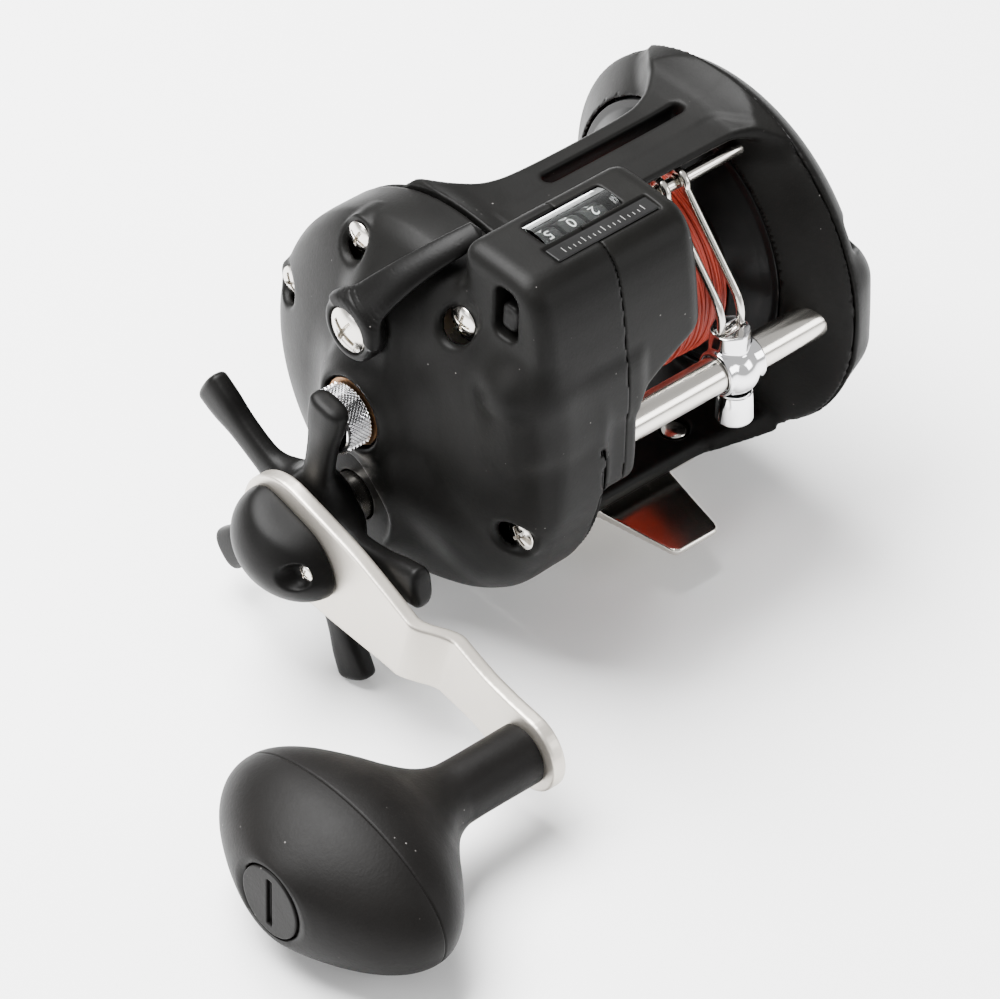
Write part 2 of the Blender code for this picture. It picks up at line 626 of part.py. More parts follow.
def build_gears():
    plate = turned("plate", RIM, [(PLATE_X[0], 34.6), (PLATE_X[1], 34.6)], BIG)
    combine(plate, rod_x("plate_bearing_boss", SPOOL, -37.0, -31.8, 7.2, MID), "UNION")
    combine(plate, rod_x("plate_idler_pin", IDLER, -40.2, -36.0, 1.5, 12), "UNION")
    combine(plate, rod_x("plate_dog_pin", DOG, -40.2, -36.0, 1.2, 12), "UNION")
    combine(plate, rod_x("plate_bearing_hole", SPOOL, -36.2, -30.0, 5.5, MID))
    combine(plate, rod_x("plate_shaft_hole", SPOOL, -40.0, -30.0, 3.6, SMALL))
    combine(plate, rod_x("plate_drive_hole", DRIVE, -40.0, -30.0, DRIVE_R + GAP, SMALL))
    combine(plate, rod_x("plate_tube_hole", TUBE, -40.0, -30.0, TUBE_R + GAP, 24))
    for i, c in enumerate(GEAR_SCREWS):
        combine(plate, rod_x("plate_notch_%d" % i, c, -40.0, -30.0, 3.9, SMALL))
    finish(plate, "gear_side_plate", zinc)

    pinion_phase = 0.0
    pinion = gear("pinion", SPOOL, PINION_TEETH, MODULE, pinion_phase, -45.4, -40.6,
                  PINION_SHAFT_R + GAP)
    sleeve = tube_x("pinion_sleeve", SPOOL, -48.6, -45.2, 4.6, PINION_SHAFT_R + GAP, 12)
    combine(pinion, sleeve, "UNION")
    groove = tube_x("pinion_groove", SPOOL, -47.7, -46.0, 8.0, 3.4, 12)
    combine(pinion, groove)
    finish(pinion, "pinion_gear", brass, origin=(-44.0, *SPOOL))

    main_phase = meshed_phase(DRIVE, MAIN_TEETH, SPOOL, PINION_TEETH, pinion_phase)
    main = gear("main", DRIVE, MAIN_TEETH, MODULE, main_phase, *MAIN_X, DRIVE_R + GAP)
    finish(main, "main_gear", brass, origin=(-43.0, *DRIVE))

    wind_phase = 0.1
    wind = gear("wind", SPOOL, WIND_TEETH, WIND_MODULE, wind_phase, *WIND_X, PINION_SHAFT_R + GAP)
    finish(wind, "levelwind_drive_gear", nylon, origin=(-38.5, *SPOOL))
    idler_phase = meshed_phase(IDLER, IDLER_TEETH, SPOOL, WIND_TEETH, wind_phase)
    idler = gear("idler", IDLER, IDLER_TEETH, WIND_MODULE, idler_phase, *WIND_X, 1.8)
    finish(idler, "levelwind_idler_gear", nylon, origin=(-38.5, *IDLER))
    worm_phase = meshed_phase(TUBE, WIND_TEETH, IDLER, IDLER_TEETH, idler_phase)
    worm_gear = gear("worm_gear", TUBE, WIND_TEETH, WIND_MODULE, worm_phase, *WIND_X, 2.1)
    finish(worm_gear, "worm_gear", nylon, origin=(-38.5, *TUBE))

    outline = []
    step = 2.0 * math.pi / RATCHET_TEETH
    for i in range(RATCHET_TEETH):
        a = i * step
        outline.append((DRIVE[0] + 8.6 * math.cos(a), DRIVE[1] + 8.6 * math.sin(a)))
        outline.append((DRIVE[0] + 6.9 * math.cos(a + 0.12 * step),
                        DRIVE[1] + 6.9 * math.sin(a + 0.12 * step)))
    ratchet = prism_x("ratchet", outline, -39.9, -38.4)
    combine(ratchet, rod_x("ratchet_bore", DRIVE, -42.0, -36.0, DRIVE_R + GAP, SMALL))
    finish(ratchet, "anti_reverse_ratchet", steel, origin=(-39.0, *DRIVE))
    toe = (DRIVE[0] + 9.6 * math.cos(0.62), DRIVE[1] + 9.6 * math.sin(0.62))
    dog = hull("dog", [p for x in (-39.9, -38.4)
                       for p in ring_points(x, DOG, 2.5, 12) + ring_points(x, toe, 0.5, 4)])
    combine(dog, rod_x("dog_bore", DOG, -42.0, -36.0, 1.5, 12))
    finish(dog, "anti_reverse_dog", steel, origin=(-39.0, *DOG))

    for name, x0, x1, mat in (("drag_washer_fibre", -45.5, -44.5, fibre),
                              ("drag_washer_steel", -46.8, -45.8, steel)):
        ring = tube_x(name, DRIVE, x0, x1, 9.4, DRIVE_R + GAP, MID)
        finish(ring, name, mat, origin=(x0, *DRIVE))
    sleeve = tube_x("drag_sleeve", DRIVE, -62.4, -47.1, 4.9, DRIVE_R + GAP, 16)
    finish(sleeve, "drag_sleeve", steel, origin=(-55.0, *DRIVE))

    outer = []
    inner = []
    for i in range(13):
        a = math.radians(180.0 + 180.0 * i / 12.0)
        outer.append((SPOOL[0] + 8.0 * math.cos(a), SPOOL[1] + 1.0 + 7.0 * math.sin(a)))
        inner.append((SPOOL[0] + 3.8 * math.cos(a), SPOOL[1] + 3.8 * math.sin(a)))
    fork = prism_x("fork", [(-8.0, 56.5), *outer, (8.0, 56.5)], -47.3, -46.4)
    slot = prism_x("fork_slot", [(-3.8, 36.0), (-3.8, 45.0),
                                 *[(SPOOL[0] - 3.8 * math.cos(math.pi * i / 12.0),
                                    SPOOL[1] + 3.8 * math.sin(math.pi * i / 12.0))
                                   for i in range(1, 12)],
                                 (3.8, 45.0), (3.8, 36.0)], -50.0, -45.0)
    combine(fork, slot)
    finish(fork, "clutch_yoke", zinc)


# ------------------------------------------------------------ crank and drag
STAR_ANGLE = 28.2
STAR_ARM = ((5.0, -66.8, 5.2, 3.1), (10.0, -67.2, 3.9, 2.8), (15.0, -68.0, 3.1, 2.3),
            (22.0, -68.2, 3.2, 2.3), (27.0, -68.3, 4.0, 2.5), (31.2, -68.3, 4.3, 2.5),
            (32.3, -68.3, 3.4, 1.8))


def star_arm(name, angle):
    """One swept arm; rows are radius, x, half width and half thickness."""
    out = (math.cos(angle), math.sin(angle))
    side = (-out[1], out[0])
    rings = []
    for s, x, half, thick in STAR_ARM:
        ring = []
        for i in range(10):
            a = 2.0 * math.pi * i / 10.0
            w = half * math.copysign(abs(math.cos(a)) ** 0.7, math.cos(a))
            t = thick * math.copysign(abs(math.sin(a)) ** 0.7, math.sin(a))
            ring.append((x + t, DRIVE[0] + s * out[0] + w * side[0],
                         DRIVE[1] + s * out[1] + w * side[1]))
        rings.append(ring)
    return loft(name, rings)


# half width, sideways offset and outer face of the arm at distances from its hub
ARM_T = 3.0
ARM_LENGTH = apart(DRIVE, KNOB)
ARM_BODY = ((8.0, 11.4, 0.6, -74.5), (17.0, 10.4, 1.3, -74.5), (26.0, 8.9, 1.6, -74.5),
            (33.5, 7.6, 1.6, -74.5), (37.5, 7.5, 1.2, -72.0), (41.5, 7.4, 0.8, -69.5),
            (50.0, 6.7, 0.6, -69.5), (57.0, 7.2, 0.3, -69.5))
HUB_END_R = 12.0
KNOB_END_R = 8.2


def build_arm():
    along = Vector((KNOB[0] - DRIVE[0], KNOB[1] - DRIVE[1])) / ARM_LENGTH
    side = Vector((along.y, -along.x))
    rows = []
    for degrees in (14.0, 34.0, 54.0, 72.0, 90.0):
        a = math.radians(degrees)
        rows.append((-HUB_END_R * math.cos(a), HUB_END_R * math.sin(a), 0.0, -74.5))
    rows += list(ARM_BODY)
    for degrees in (90.0, 66.0, 44.0, 24.0, 8.0):
        a = math.radians(degrees)
        rows.append((ARM_LENGTH + KNOB_END_R * math.cos(a), KNOB_END_R * math.sin(a), 0.0, -69.5))
    rings = []
    for s, half, offset, face in rows:
        mid = Vector(DRIVE) + along * s + side * offset
        one, two = mid + side * half, mid - side * half
        rings.append([(face, *one), (face, *two), (face + ARM_T, *two), (face + ARM_T, *one)])
    arm = loft("arm", rings)
    combine(arm, rod_x("arm_hub_hole", DRIVE, -80.0, -60.0, DRIVE_R + GAP, SMALL))
    combine(arm, rod_x("arm_knob_hole", KNOB, -80.0, -60.0, 2.9, SMALL))
    finish(arm, "handle_arm", anodised, origin=(-73.0, *DRIVE))


KNOB_FORM = ((-70.1, 6.1, 6.1), (-84.4, 6.1, 6.1), (-88.8, 6.7, 6.4), (-92.8, 9.0, 7.6),
             (-96.8, 13.4, 9.6), (-100.8, 18.8, 11.9), (-105.3, 24.2, 13.9),
             (-109.3, 27.2, 15.0), (-113.1, 28.2, 15.3), (-117.3, 27.3, 14.9),
             (-121.3, 24.6, 13.7), (-124.8, 20.6, 12.2), (-127.8, 15.6, 10.5),
             (-129.6, 11.6, 9.2), (-130.2, 9.6, 8.5))
KNOB_END = -130.2
KNOB_TILT = math.radians(3.7)
# egg-shaped cap over the handle nut: lead along the arm, squash, then (x, half length)
CAP_LEAD = 2.4
CAP_SQUASH = 0.75
CAP_SKIN = ((-74.8, 13.0), (-77.0, 12.8), (-80.4, 11.3), (-83.1, 8.0), (-84.6, 3.6))


def build_crank():
    shaft = turned("drive", DRIVE, [(-35.6, DRIVE_R), (-77.4, DRIVE_R), (-78.0, DRIVE_R - 0.6)], 20)
    finish(shaft, "drive_shaft", steel, origin=(-60.0, *DRIVE))

    star = turned("star", DRIVE, [(-63.4, 8.2), (-62.8, 7.4), (-62.8, DRIVE_R + GAP),
                                  (-70.9, DRIVE_R + GAP), (-70.9, 6.0), (-69.4, 8.2)],
                  MID, bored=True)
    for i in range(5):
        angle = math.radians(STAR_ANGLE + 72.0 * i)
        combine(star, star_arm("star_arm_%d" % i, angle), "UNION")
    combine(star, rod_x("star_bore", DRIVE, -75.0, -60.0, DRIVE_R + GAP, SMALL))
    finish(star, "star_drag", satin_black, origin=(-67.0, *DRIVE))

    build_arm()

    nut = loft("nut", [ring_points(x, DRIVE, r, 6) for x, r in ((-74.8, 6.0), (-78.0, 6.0))])
    combine(nut, rod_x("nut_bore", DRIVE, -82.0, -70.0, DRIVE_R + GAP, SMALL))
    finish(nut, "handle_nut", steel, origin=(-76.0, *DRIVE))

    turn = bearing_of(DRIVE, KNOB)
    middle = (DRIVE[0] + CAP_LEAD * math.cos(turn), DRIVE[1] + CAP_LEAD * math.sin(turn))
    rings = [ring_points(x, DRIVE, r, MID, 1.0, turn)
             for x, r in ((-78.6, 1.0), (-78.6, 7.0), (-74.8, 7.0))]
    rings += [ring_points(x, middle, r, MID, CAP_SQUASH, turn) for x, r in CAP_SKIN]
    cap = loft("nut_cover", rings)
    spot = (DRIVE[0] - 11.6, DRIVE[1] + 0.6)
    base = -78.9
    combine(cap, boss("nut_cover_pocket", (spot,), base, 2.2, -90.0, 3.4))
    combine(cap, rod_x("nut_cover_hole", spot, -90.0, -70.0, 0.9, 10))
    finish(cap, "handle_nut_cover", satin_black, origin=(-78.0, *DRIVE))
    base -= 0.15
    tiny = turned("tiny", spot, [(base + 3.8, 0.6), (base, 0.6), (base, 1.7), (base - 0.6, 1.6),
                                 (base - 1.0, 0.9)], 12)
    finish(tiny, "nut_cover_screw", steel, origin=(-79.0, *DRIVE))

    spindle = turned("spindle", KNOB, [(-64.9, 3.6), (-65.4, 4.2), (-66.2, 4.2), (-66.2, 2.5),
                                       (KNOB_END + 4.4, 2.5), (KNOB_END + 3.8, 1.9)], SMALL)
    finish(spindle, "knob_spindle", steel, origin=(-70.0, *KNOB))
    rings = []
    for x, ry, rz in KNOB_FORM:
        rings.append(ring_points(x, KNOB, ry, MID, rz / ry, KNOB_TILT))
    knob = loft("knob", rings)
    combine(knob, rod_x("knob_bore", KNOB, KNOB_END + 3.4, -60.0, 2.8, SMALL))
    combine(knob, rod_x("knob_recess", KNOB, KNOB_END - 5.0, KNOB_END + 2.0, 7.7, MID))
    finish(knob, "handle_knob", rubbery, origin=(-100.0, *KNOB))
    cap = turned("cap", KNOB, [(KNOB_END + 1.7, 7.4), (KNOB_END + 0.1, 7.4),
                               (KNOB_END - 0.2, 7.0)], MID)
    slot = box("cap_slot", (KNOB_END - 2.0, KNOB_END + 0.8), (KNOB[0] - 0.7, KNOB[0] + 0.7),
               (KNOB[1] - 5.4, KNOB[1] + 5.4))
    combine(cap, slot)
    finish(cap, "knob_end_cap", rubbery, origin=(KNOB_END + 0.9, *KNOB))


# -------------------------------------------------------------- clutch lever
LEVER_PATH = ((-58.8, -0.4, 66.6, 5.2, 1.6), (-58.0, -2.6, 71.4, 4.3, 1.5),
              (-54.1, -5.6, 76.3, 3.5, 1.6), (-49.2, -8.4, 80.2, 3.0, 1.6),
              (-44.6, -10.6, 82.9, 2.7, 1.4), (-40.2, -12.0, 84.6, 2.4, 1.2))


def build_lever():
    lever = turned("lever", LEVER, [(-56.6, 6.6), (-59.4, 6.6), (-60.4, 5.6)], MID)
    rings = []
    points = [Vector(p[:3]) for p in LEVER_PATH]
    for i, (x, y, z, half, thick) in enumerate(LEVER_PATH):
        run = (points[min(i + 1, len(points) - 1)] - points[max(i - 1, 0)]).normalized()
        wide = Vector((0.0, -1.0, -0.25)).cross(run).cross(run).normalized()
        deep = run.cross(wide)
        ring = []
        for k in range(10):
            a = 2.0 * math.pi * k / 10.0
            ring.append(tuple(points[i] + wide * half * math.cos(a) + deep * thick * math.sin(a)))
        rings.append(ring)
    combine(lever, loft("lever_blade", rings), "UNION")
    combine(lever, rod_x("lever_pivot_hole", LEVER, -70.0, -50.0, 2.3, SMALL))
    combine(lever, rod_x("lever_screw_seat", LEVER, -70.0, -59.8, 5.0, MID))
    finish(lever, "clutch_lever", satin_black, origin=(-58.0, *LEVER))
    bolt = turned("bolt", LEVER, [(-44.0, 2.0), (-59.95, 2.0), (-59.95, 4.7), (-60.6, 4.6),
                                  (-61.3, 3.6), (-61.6, 2.0)], 14)
    for i, (a, b) in enumerate(((0.4, 2.2), (2.2, 0.4))):
        combine(bolt, box("bolt_drive_%d" % i, (-63.0, -60.7), (LEVER[0] - a, LEVER[0] + a),
                          (LEVER[1] - b, LEVER[1] + b)))
    finish(bolt, "clutch_lever_screw", steel, origin=(-60.0, *LEVER))


# ---------------------------------------------------------------- level wind
COLLAR_Y = -31.8              # axis of the wire collar, just behind the tube axis
CAP_Y = -33.9                 # axis of the pawl cap under the ball
BALL = (-33.2, 41.3)          # centre of the carriage ball, as (y, z)
BALL_R = 5.2
BALL_STEPS = (-75, -50, -25, 0, 25, 50, 75)
COLLAR_R = 3.95
WIRE_TOP = 2.5                # radius of the wire's hook about the guide rod


def sweep(name, path, radius, count):
    """Round wire along a list of points."""
    points = [Vector(p) for p in path]
    rings = []
    guide = Vector((1.0, 0.35, 0.2)).normalized()
    for i, p in enumerate(points):
        ahead = (points[min(i + 1, len(points) - 1)] - p)
        back = (p - points[max(i - 1, 0)])
        run = ((ahead.normalized() if ahead.length else ahead)
               + (back.normalized() if back.length else back)).normalized()
        guide = (guide - run * guide.dot(run)).normalized()
        other = run.cross(guide)
        rings.append([tuple(p + guide * radius * math.cos(2.0 * math.pi * k / count)
                            + other * radius * math.sin(2.0 * math.pi * k / count))
                      for k in range(count)])
    return loft(name, rings)


def ball(name, x, radius):
    """Ball of the carriage, turned about an upright axis."""
    rows = [(BALL[1] + radius * math.sin(math.radians(a)), radius * math.cos(math.radians(a)))
            for a in BALL_STEPS]
    return turned_up(name, (x, BALL[0]), rows, 18)


def build_wires():
    """One bent wire: down one leg, across inside the collar and up again."""
    hook = []
    for degrees in (20.0, 55.0, 90.0, 125.0, 160.0, 190.0):
        a = math.radians(degrees)
        hook.append((ROD[0] + WIRE_TOP * math.cos(a), ROD[1] + WIRE_TOP * math.sin(a)))
    leg = hook + [(-30.6, 56.2), (-31.5, 54.0), (COLLAR_Y, 51.0)]
    path = [(CARRIAGE_X - WIRE_SPREAD, y, z) for y, z in leg]
    path += [(CARRIAGE_X - WIRE_SPREAD + 0.5, COLLAR_Y, 49.2),
             (CARRIAGE_X - 0.8, COLLAR_Y, 48.6), (CARRIAGE_X + 0.8, COLLAR_Y, 48.6),
             (CARRIAGE_X + WIRE_SPREAD - 0.5, COLLAR_Y, 49.2)]
    path += [(CARRIAGE_X + WIRE_SPREAD, y, z) for y, z in reversed(leg)]
    wires = sweep("wires", path, WIRE_R, 10)
    finish(wires, "line_guide_wires", steel, origin=(CARRIAGE_X, *TUBE))


def build_levelwind():
    outer = turned("tube", TUBE, [(-34.6, 2.9), (28.4, 2.9), (28.4, TUBE_R), (-34.6, TUBE_R)],
                   24, bored=True)
    slot = box("tube_slot", (-22.5, 20.5), (TUBE[0] - 1.0, TUBE[0] + 1.0), (36.0, 42.0))
    combine(outer, slot)
    finish(outer, "worm_tube", steel)
    worm = turned("worm", TUBE, [(-41.0, 1.8), (-35.6, 1.8), (-35.0, 2.4), (28.2, 2.4),
                                 (28.8, 1.8)], 20)
    finish(worm, "worm_shaft", steel, origin=(0.0, *TUBE))
    finish(rod_x("rod", ROD, -32.4, 27.4, ROD_R, SMALL, 0.3), "guide_rod", steel)

    x = CARRIAGE_X
    body = turned("carriage", TUBE, [(x - 4.6, 4.3), (x - 4.3, 4.6), (x + 4.3, 4.6),
                                     (x + 4.6, 4.3)], MID)
    combine(body, ball("carriage_ball", x, BALL_R), "UNION")
    collar = turned_up("carriage_collar", (x, COLLAR_Y),
                       [(43.0, COLLAR_R), (49.7, COLLAR_R), (50.1, COLLAR_R - 0.3)], 16)
    combine(body, collar, "UNION")
    neck = turned_up("carriage_neck", (x, CAP_Y), [(32.2, 2.4), (38.4, 2.4)], SMALL)
    combine(body, neck, "UNION")
    combine(body, rod_x("carriage_bore", TUBE, x - 9.0, x + 9.0, TUBE_R + GAP, 24))
    reach = WIRE_SPREAD + 1.1
    wire_room = box("carriage_wire_room", (x - reach, x + reach),
                    (COLLAR_Y - 1.15, COLLAR_Y + 1.15), (47.3, 60.0))
    combine(body, wire_room)
    pawl_room = turned_up("carriage_pawl_room", (x, TUBE[0]), [(30.0, 1.0), (40.0, 1.0)], 12)
    combine(body, pawl_room)
    finish(body, "levelwind_carriage", chrome, origin=(x, *TUBE))

    pawl = turned_up("pawl", (x, TUBE[0]), [(33.2, 0.7), (39.2, 0.7)], 12)
    finish(pawl, "levelwind_pawl", bronze, origin=(x, *TUBE))
    cap = turned_up("pawl_cap", (x, CAP_Y), [(29.6, 3.2), (30.1, 3.7), (34.0, 3.6), (36.0, 3.45),
                                             (37.6, 3.4)], 16)
    combine(cap, turned_up("pawl_cap_room", (x, CAP_Y), [(31.8, 2.75), (40.0, 2.75)], SMALL))
    combine(cap, ball("pawl_cap_ball_room", x, BALL_R + 0.4))
    finish(cap, "pawl_cap", chrome, origin=(x, *TUBE))
    build_wires()


clear_scene()
build_frame()
build_foot()
build_gear_cover()
build_left_cover()
build_counter()
build_spool()
build_gears()
build_crank()
build_lever()
build_levelwind()
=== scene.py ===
"""Looks of a level-wind trolling reel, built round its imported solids.

Moulded pieces are sculpted as fields of distance in millimetres and skinned,
turned pieces are lathed, and what repeats is grown by geometry nodes.
"""

import itertools
import json
import math

import bmesh
import bpy
import numpy as np
from mathutils import Matrix, Vector


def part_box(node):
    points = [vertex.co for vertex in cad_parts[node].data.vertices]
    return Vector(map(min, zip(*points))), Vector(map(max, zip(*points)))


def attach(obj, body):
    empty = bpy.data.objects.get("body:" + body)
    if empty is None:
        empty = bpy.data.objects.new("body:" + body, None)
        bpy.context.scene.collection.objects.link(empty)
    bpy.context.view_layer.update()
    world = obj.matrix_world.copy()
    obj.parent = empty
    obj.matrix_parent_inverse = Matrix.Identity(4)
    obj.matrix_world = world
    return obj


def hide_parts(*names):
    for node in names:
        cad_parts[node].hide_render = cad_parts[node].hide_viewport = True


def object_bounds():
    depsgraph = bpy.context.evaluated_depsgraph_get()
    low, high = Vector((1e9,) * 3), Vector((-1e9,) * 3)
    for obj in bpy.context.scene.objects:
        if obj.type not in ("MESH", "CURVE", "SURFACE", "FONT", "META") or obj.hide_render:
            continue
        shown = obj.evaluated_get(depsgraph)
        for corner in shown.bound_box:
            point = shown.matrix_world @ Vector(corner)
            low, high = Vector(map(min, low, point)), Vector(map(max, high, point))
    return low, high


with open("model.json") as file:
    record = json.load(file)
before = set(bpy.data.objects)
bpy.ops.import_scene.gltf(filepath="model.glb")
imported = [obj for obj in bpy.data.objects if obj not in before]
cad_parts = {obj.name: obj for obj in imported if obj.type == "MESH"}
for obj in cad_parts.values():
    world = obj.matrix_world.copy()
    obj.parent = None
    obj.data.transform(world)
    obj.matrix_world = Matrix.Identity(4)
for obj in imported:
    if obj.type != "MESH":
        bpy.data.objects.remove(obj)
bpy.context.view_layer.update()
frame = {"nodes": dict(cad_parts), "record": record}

MM = 0.001

# ------------------------------------------------------------- where things are
SPOOL = (0.0, 45.0)
DRIVE = (1.8, 22.3)
RIM = (-2.3, 41.4)
TUBE = (-33.0, 42.0)
ROD = (-13.4, 72.6)
LEVER = (0.5, 64.5)
KNOB = (-60.2, 7.7)
COUNTER = (-22.5, 81.6)
BUTTON = (-28.2, 79.4)
GAP = 0.3
KNOB_END = -130.2
FAR_X, NEAR_X = 22.0, -26.0
OUTSIDE = -70.0
OPENING_R = 28.2
RIM_R = 39.0
TUBE_R = 3.6
LINE_R = 20.6
LINE_SPAN = (-20.25, 16.25)
SEAM_X, SEAM_GAP = -27.7, 0.16
CARRIAGE_X = 6.1
COLLAR_Y, CAP_Y = -31.8, -33.9


# ------------------------------------------------------- distance-field shapes
def join(a, b, soft=0.0):
    """Union with a fillet about as wide as soft."""
    if np.all(soft == 0.0):
        return np.minimum(a, b)
    h = np.clip(0.5 + 0.5 * (b - a) / soft, 0.0, 1.0)
    return b + (a - b) * h - soft * h * (1.0 - h)


def meet(a, b, soft=0.0):
    return -join(-a, -b, soft)


def cut(a, b, soft=0.0):
    return meet(a, -b, soft)


def between(v, a, b):
    """Distance outside the slab from a to b."""
    return np.abs(v - 0.5 * (a + b)) - 0.5 * abs(b - a)


def polar(centre, radius, angle):
    return centre[0] + radius * math.cos(angle), centre[1] + radius * math.sin(angle)


def eased(rows, per=5):
    """Catmull-Rom points through the rows."""
    p = np.array(rows, float)
    ext = np.vstack([2 * p[0] - p[1], p, 2 * p[-1] - p[-2]])
    out = []
    for i in range(len(p) - 1):
        a, b, c, d = ext[i:i + 4]
        for t in np.arange(per) / per:
            out.append(0.5 * (2 * b + (c - a) * t + (2 * a - 5 * b + 4 * c - d) * t * t
                              + (3 * b - a - 3 * c + d) * t ** 3))
    out.append(p[-1])
    return np.array(out)


def outline_distance(u, v, corners):
    """Signed distance to a closed outline, negative inside."""
    best, inside = None, None
    for (ax, ay), (bx, by) in zip(corners, np.roll(corners, -1, axis=0)):
        ex, ey = bx - ax, by - ay
        if ex == 0.0 and ey == 0.0:
            continue
        wx, wy = u - ax, v - ay
        t = np.clip((wx * ex + wy * ey) / (ex * ex + ey * ey), 0.0, 1.0)
        q = (wx - ex * t) ** 2 + (wy - ey * t) ** 2
        above, below, left = v >= ay, v < by, ex * wy > ey * wx
        flip = (above & below & left) | (~above & ~below & ~left)
        best = q if best is None else np.minimum(best, q)
        inside = flip if inside is None else inside ^ flip
    return np.where(inside, -np.sqrt(best), np.sqrt(best))


def rounded_off(corners, times=3):
    """Closed outline with its corners cut back again and again."""
    p = np.array(corners, float)
    for _ in range(times):
        after = np.roll(p, -1, axis=0)
        p = np.stack([0.8 * p + 0.2 * after, 0.2 * p + 0.8 * after], 1).reshape(-1, 2)
    return p


class Outline:
    """An outline's distances kept in a fine table, so that they are quick to read."""

    def __init__(self, corners, pad=9.0, cell=0.1):
        corners = np.array(corners, float)
        self.low = corners.min(0) - pad
        high = corners.max(0) + pad
        self.cell = cell
        us = np.arange(self.low[0], high[0], cell)
        vs = np.arange(self.low[1], high[1], cell)
        self.table = outline_distance(us[:, None], vs[None, :], corners)

    def __call__(self, u, v):
        n, m = self.table.shape
        fu = np.clip((u - self.low[0]) / self.cell, 0, n - 1.01)
        fv = np.clip((v - self.low[1]) / self.cell, 0, m - 1.01)
        i, j = fu.astype(np.int64), fv.astype(np.int64)
        a, b = fu - i, fv - j
        t = self.table
        return ((t[i, j] * (1 - a) + t[i + 1, j] * a) * (1 - b)
                + (t[i, j + 1] * (1 - a) + t[i + 1, j + 1] * a) * b)


def half_section(rows, per=5):
    """Depth and radius of a turned shell, closed well past its axis."""
    rows = eased(rows, per)
    return Outline(np.vstack([[(rows[0][0], -30.0)], rows, [(rows[-1][0], -30.0)]]))


def from_rim(spot, share):
    """A spot moved away from the middle of the rims by a share of its distance."""
    return spot[0] + (spot[0] - RIM[0]) * share, spot[1] + (spot[1] - RIM[1]) * share


def about(y, z, centre):
    return np.hypot(y - centre[0], z - centre[1])


def pole(x, y, z, centre, x0, x1, radius, soft=0.0):
    """Cylinder along X."""
    return meet(about(y, z, centre) - radius, between(x, x0, x1), soft)


def stick(x, y, z, a, b, ra, rb):
    """Round-ended cone between two points."""
    ax, ay, az = a
    ex, ey, ez = b[0] - ax, b[1] - ay, b[2] - az
    t = ((x - ax) * ex + (y - ay) * ey + (z - az) * ez) / (ex * ex + ey * ey + ez * ez)
    t = np.clip(t, 0, 1)
    return np.sqrt((x - ax - t * ex) ** 2 + (y - ay - t * ey) ** 2
                   + (z - az - t * ez) ** 2) - (ra + (rb - ra) * t)


def across(y, z, a, b):
    """Distance from the segment between two axes."""
    ey, ez = b[0] - a[0], b[1] - a[1]
    t = np.clip(((y - a[0]) * ey + (z - a[1]) * ez) / (ey * ey + ez * ez), 0, 1)
    return np.hypot(y - a[0] - t * ey, z - a[1] - t * ez)


FRUSTUM_EDGE = 1.6


def frustum(x, radial, x0, r0, x1, r1):
    """Drafted boss whose radius changes evenly from x0 to x1."""
    t = (x - x0) / (x1 - x0)
    slope = (r1 - r0) / abs(x1 - x0)
    side = (radial - (r0 + (r1 - r0) * t)) / math.sqrt(1.0 + slope * slope)
    return meet(side, between(x, x0, x1), FRUSTUM_EDGE)


def block(x, y, z, low, high, radius=0.0):
    """Rounded box."""
    parts = [between(c, a, b) + radius for c, a, b in zip((x, y, z), low, high)]
    outer = np.sqrt(sum(np.maximum(p, 0.0) ** 2 for p in parts))
    return outer + np.minimum(np.maximum(np.maximum(parts[0], parts[1]), parts[2]), 0.0) - radius


# ------------------------------------------------------------ meshes and pieces
def placed(name, data):
    obj = bpy.data.objects.new(name, data)
    bpy.context.scene.collection.objects.link(obj)
    return obj


def baked(obj):
    """Mesh of an object once its modifiers have run."""
    bpy.context.view_layer.update()
    ready = obj.evaluated_get(bpy.context.evaluated_depsgraph_get())
    return bpy.data.meshes.new_from_object(ready)


def from_bmesh(name, bm):
    mesh = bpy.data.meshes.new(name)
    bm.to_mesh(mesh)
    bm.free()
    return placed(name, mesh)


def mesh_piece(name, points, faces, smooth=True):
    """Object at the origin whose mesh is given in millimetres."""
    mesh = bpy.data.meshes.new(name)
    mesh.from_pydata((np.asarray(points, float) * MM).tolist(), [], [list(f) for f in faces])
    mesh.validate()
    if smooth:
        mesh.shade_smooth()
    return placed(name, mesh)


